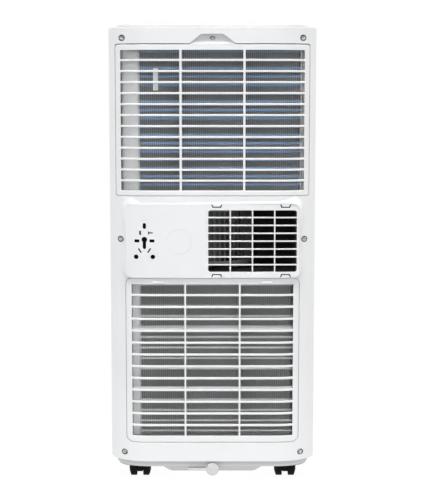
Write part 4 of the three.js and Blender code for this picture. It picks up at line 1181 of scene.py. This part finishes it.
def build_casters():
    for place, (x, y) in zip(CASTERS, caster_centres()):
        fork, wheels = f"caster_fork_{place}", f"caster_wheels_{place}"
        hub = middle(wheels)
        piece(f"{fork}_body", caster_fork_parts(x, y), CASTER_BLACK, "caster_black", [fork], fork)
        piece(f"{wheels}_pair", caster_wheel_parts(x, hub.y, hub.z), TREAD, "caster_black", [wheels], wheels)


def build_controls():
    piece("panel_plate", [panel_mesh()], PANEL_DARK, "panel_dark", ["control_panel"])
    low, high = cad("display_window")
    window = plate_mesh([rect_round(low.xy, high.xy, 0, 0.5, 2)], low.z, high.z + 0.3, 0.15)
    piece("display_glass", [window], DISPLAY, "display", ["display_window"])
    piece("panel_print", panel_marks(), ICON, "panel_dark")
    for name in BUTTON_NAMES:
        piece(name + "_cap", [button_mesh(name)], PANEL_DARK, "panel_dark", [name], name)
    for name in ("louvre_upper", "louvre_middle", "louvre_lower"):
        piece(name + "_blade", louvre_parts(name), WHITE, "shell_white", [name], name)


# ---- camera, light and floor

def aim_camera():
    """The viewpoint: behind the back, a little under the top, tipped down."""
    data = bpy.data.cameras.new("camera")
    data.sensor_width = 36
    data.lens = CAMERA.lens
    camera = add_object("camera", data)
    camera.location = (0, REAR_Y * MM - CAMERA.distance, CAMERA.height)
    camera.rotation_euler = (radians(90 - CAMERA.tip), 0, 0)
    bpy.context.scene.camera = camera


def area_light(name, place, target, size, power, beam=180):
    data = bpy.data.lights.new(name, "AREA")
    data.shape = "RECTANGLE"
    data.size, data.size_y = size
    data.energy = power
    data.spread = radians(beam)
    light = add_object(name, data)
    light.location = place
    light.rotation_euler = (Vector(target) - Vector(place)).to_track_quat("-Z", "Y").to_euler()


def light_scene():
    """A white surround, darker on the camera's side, a high softbox and three weak narrow lights."""
    world = bpy.data.worlds.new("studio")
    world.use_nodes = True
    tree = world.node_tree
    place = add_node(tree, "TexCoord", "Generated", {})
    strength = fade_along_y(tree, place, -0.4, 0.6, SURROUND.near, SURROUND.far)
    feed(tree, tree.nodes["Background"], {"Strength": strength, "Color": (1, 1, 1, 1)})
    bpy.context.scene.world = world
    area_light("softbox", (0.1, -2.6, 6.1), (0, -0.14, 0.35), (5.0, 1.9), 315)
    for side in (-1, 1):
        area_light("side", (side * 3.2, -2.6, 2.4), (side * 0.14, -0.12, 0.6), (0.5, 0.5), 0.14, 14)
    area_light("fill", (0, -4.2, 0.9), (0, -0.15, 0.36), (1.1, 1.1), 0.5, 20)


def lay_floor(half=40):
    """A pale floor that glows, as a lit acrylic table does, so that shadows on it stay faint."""
    material, tree, shader, place = new_material("studio_floor")
    cloud = spread(tree, noise(tree, place, 1.5), 0, 1)
    feed(tree, shader, {
        "Base Color": two_tone(tree, cloud, (0.04, 0.04, 0.04), 0.025),
        "Roughness": 0.8,
        "Specular IOR Level": 0.0,
        "Emission Color": (1, 1, 1, 1),
        "Emission Strength": fade_along_y(tree, place, -0.75, -0.27, 0.4, 0.97),
    })
    mesh = bpy.data.meshes.new("floor")
    corners = [(-half, -half, 0), (half, -half, 0), (half, half, 0), (-half, half, 0)]
    mesh.from_pydata(corners, [], [(0, 1, 2, 3)])
    mesh.materials.append(material)
    floor = add_object("floor", mesh)


bpy.context.scene.view_settings.view_transform = "Standard"
aim_camera()
light_scene()
lay_floor()
finish_cad_nodes()
build_back()
build_grilles()
build_coils()
build_cabinet()
build_casters()
build_controls()
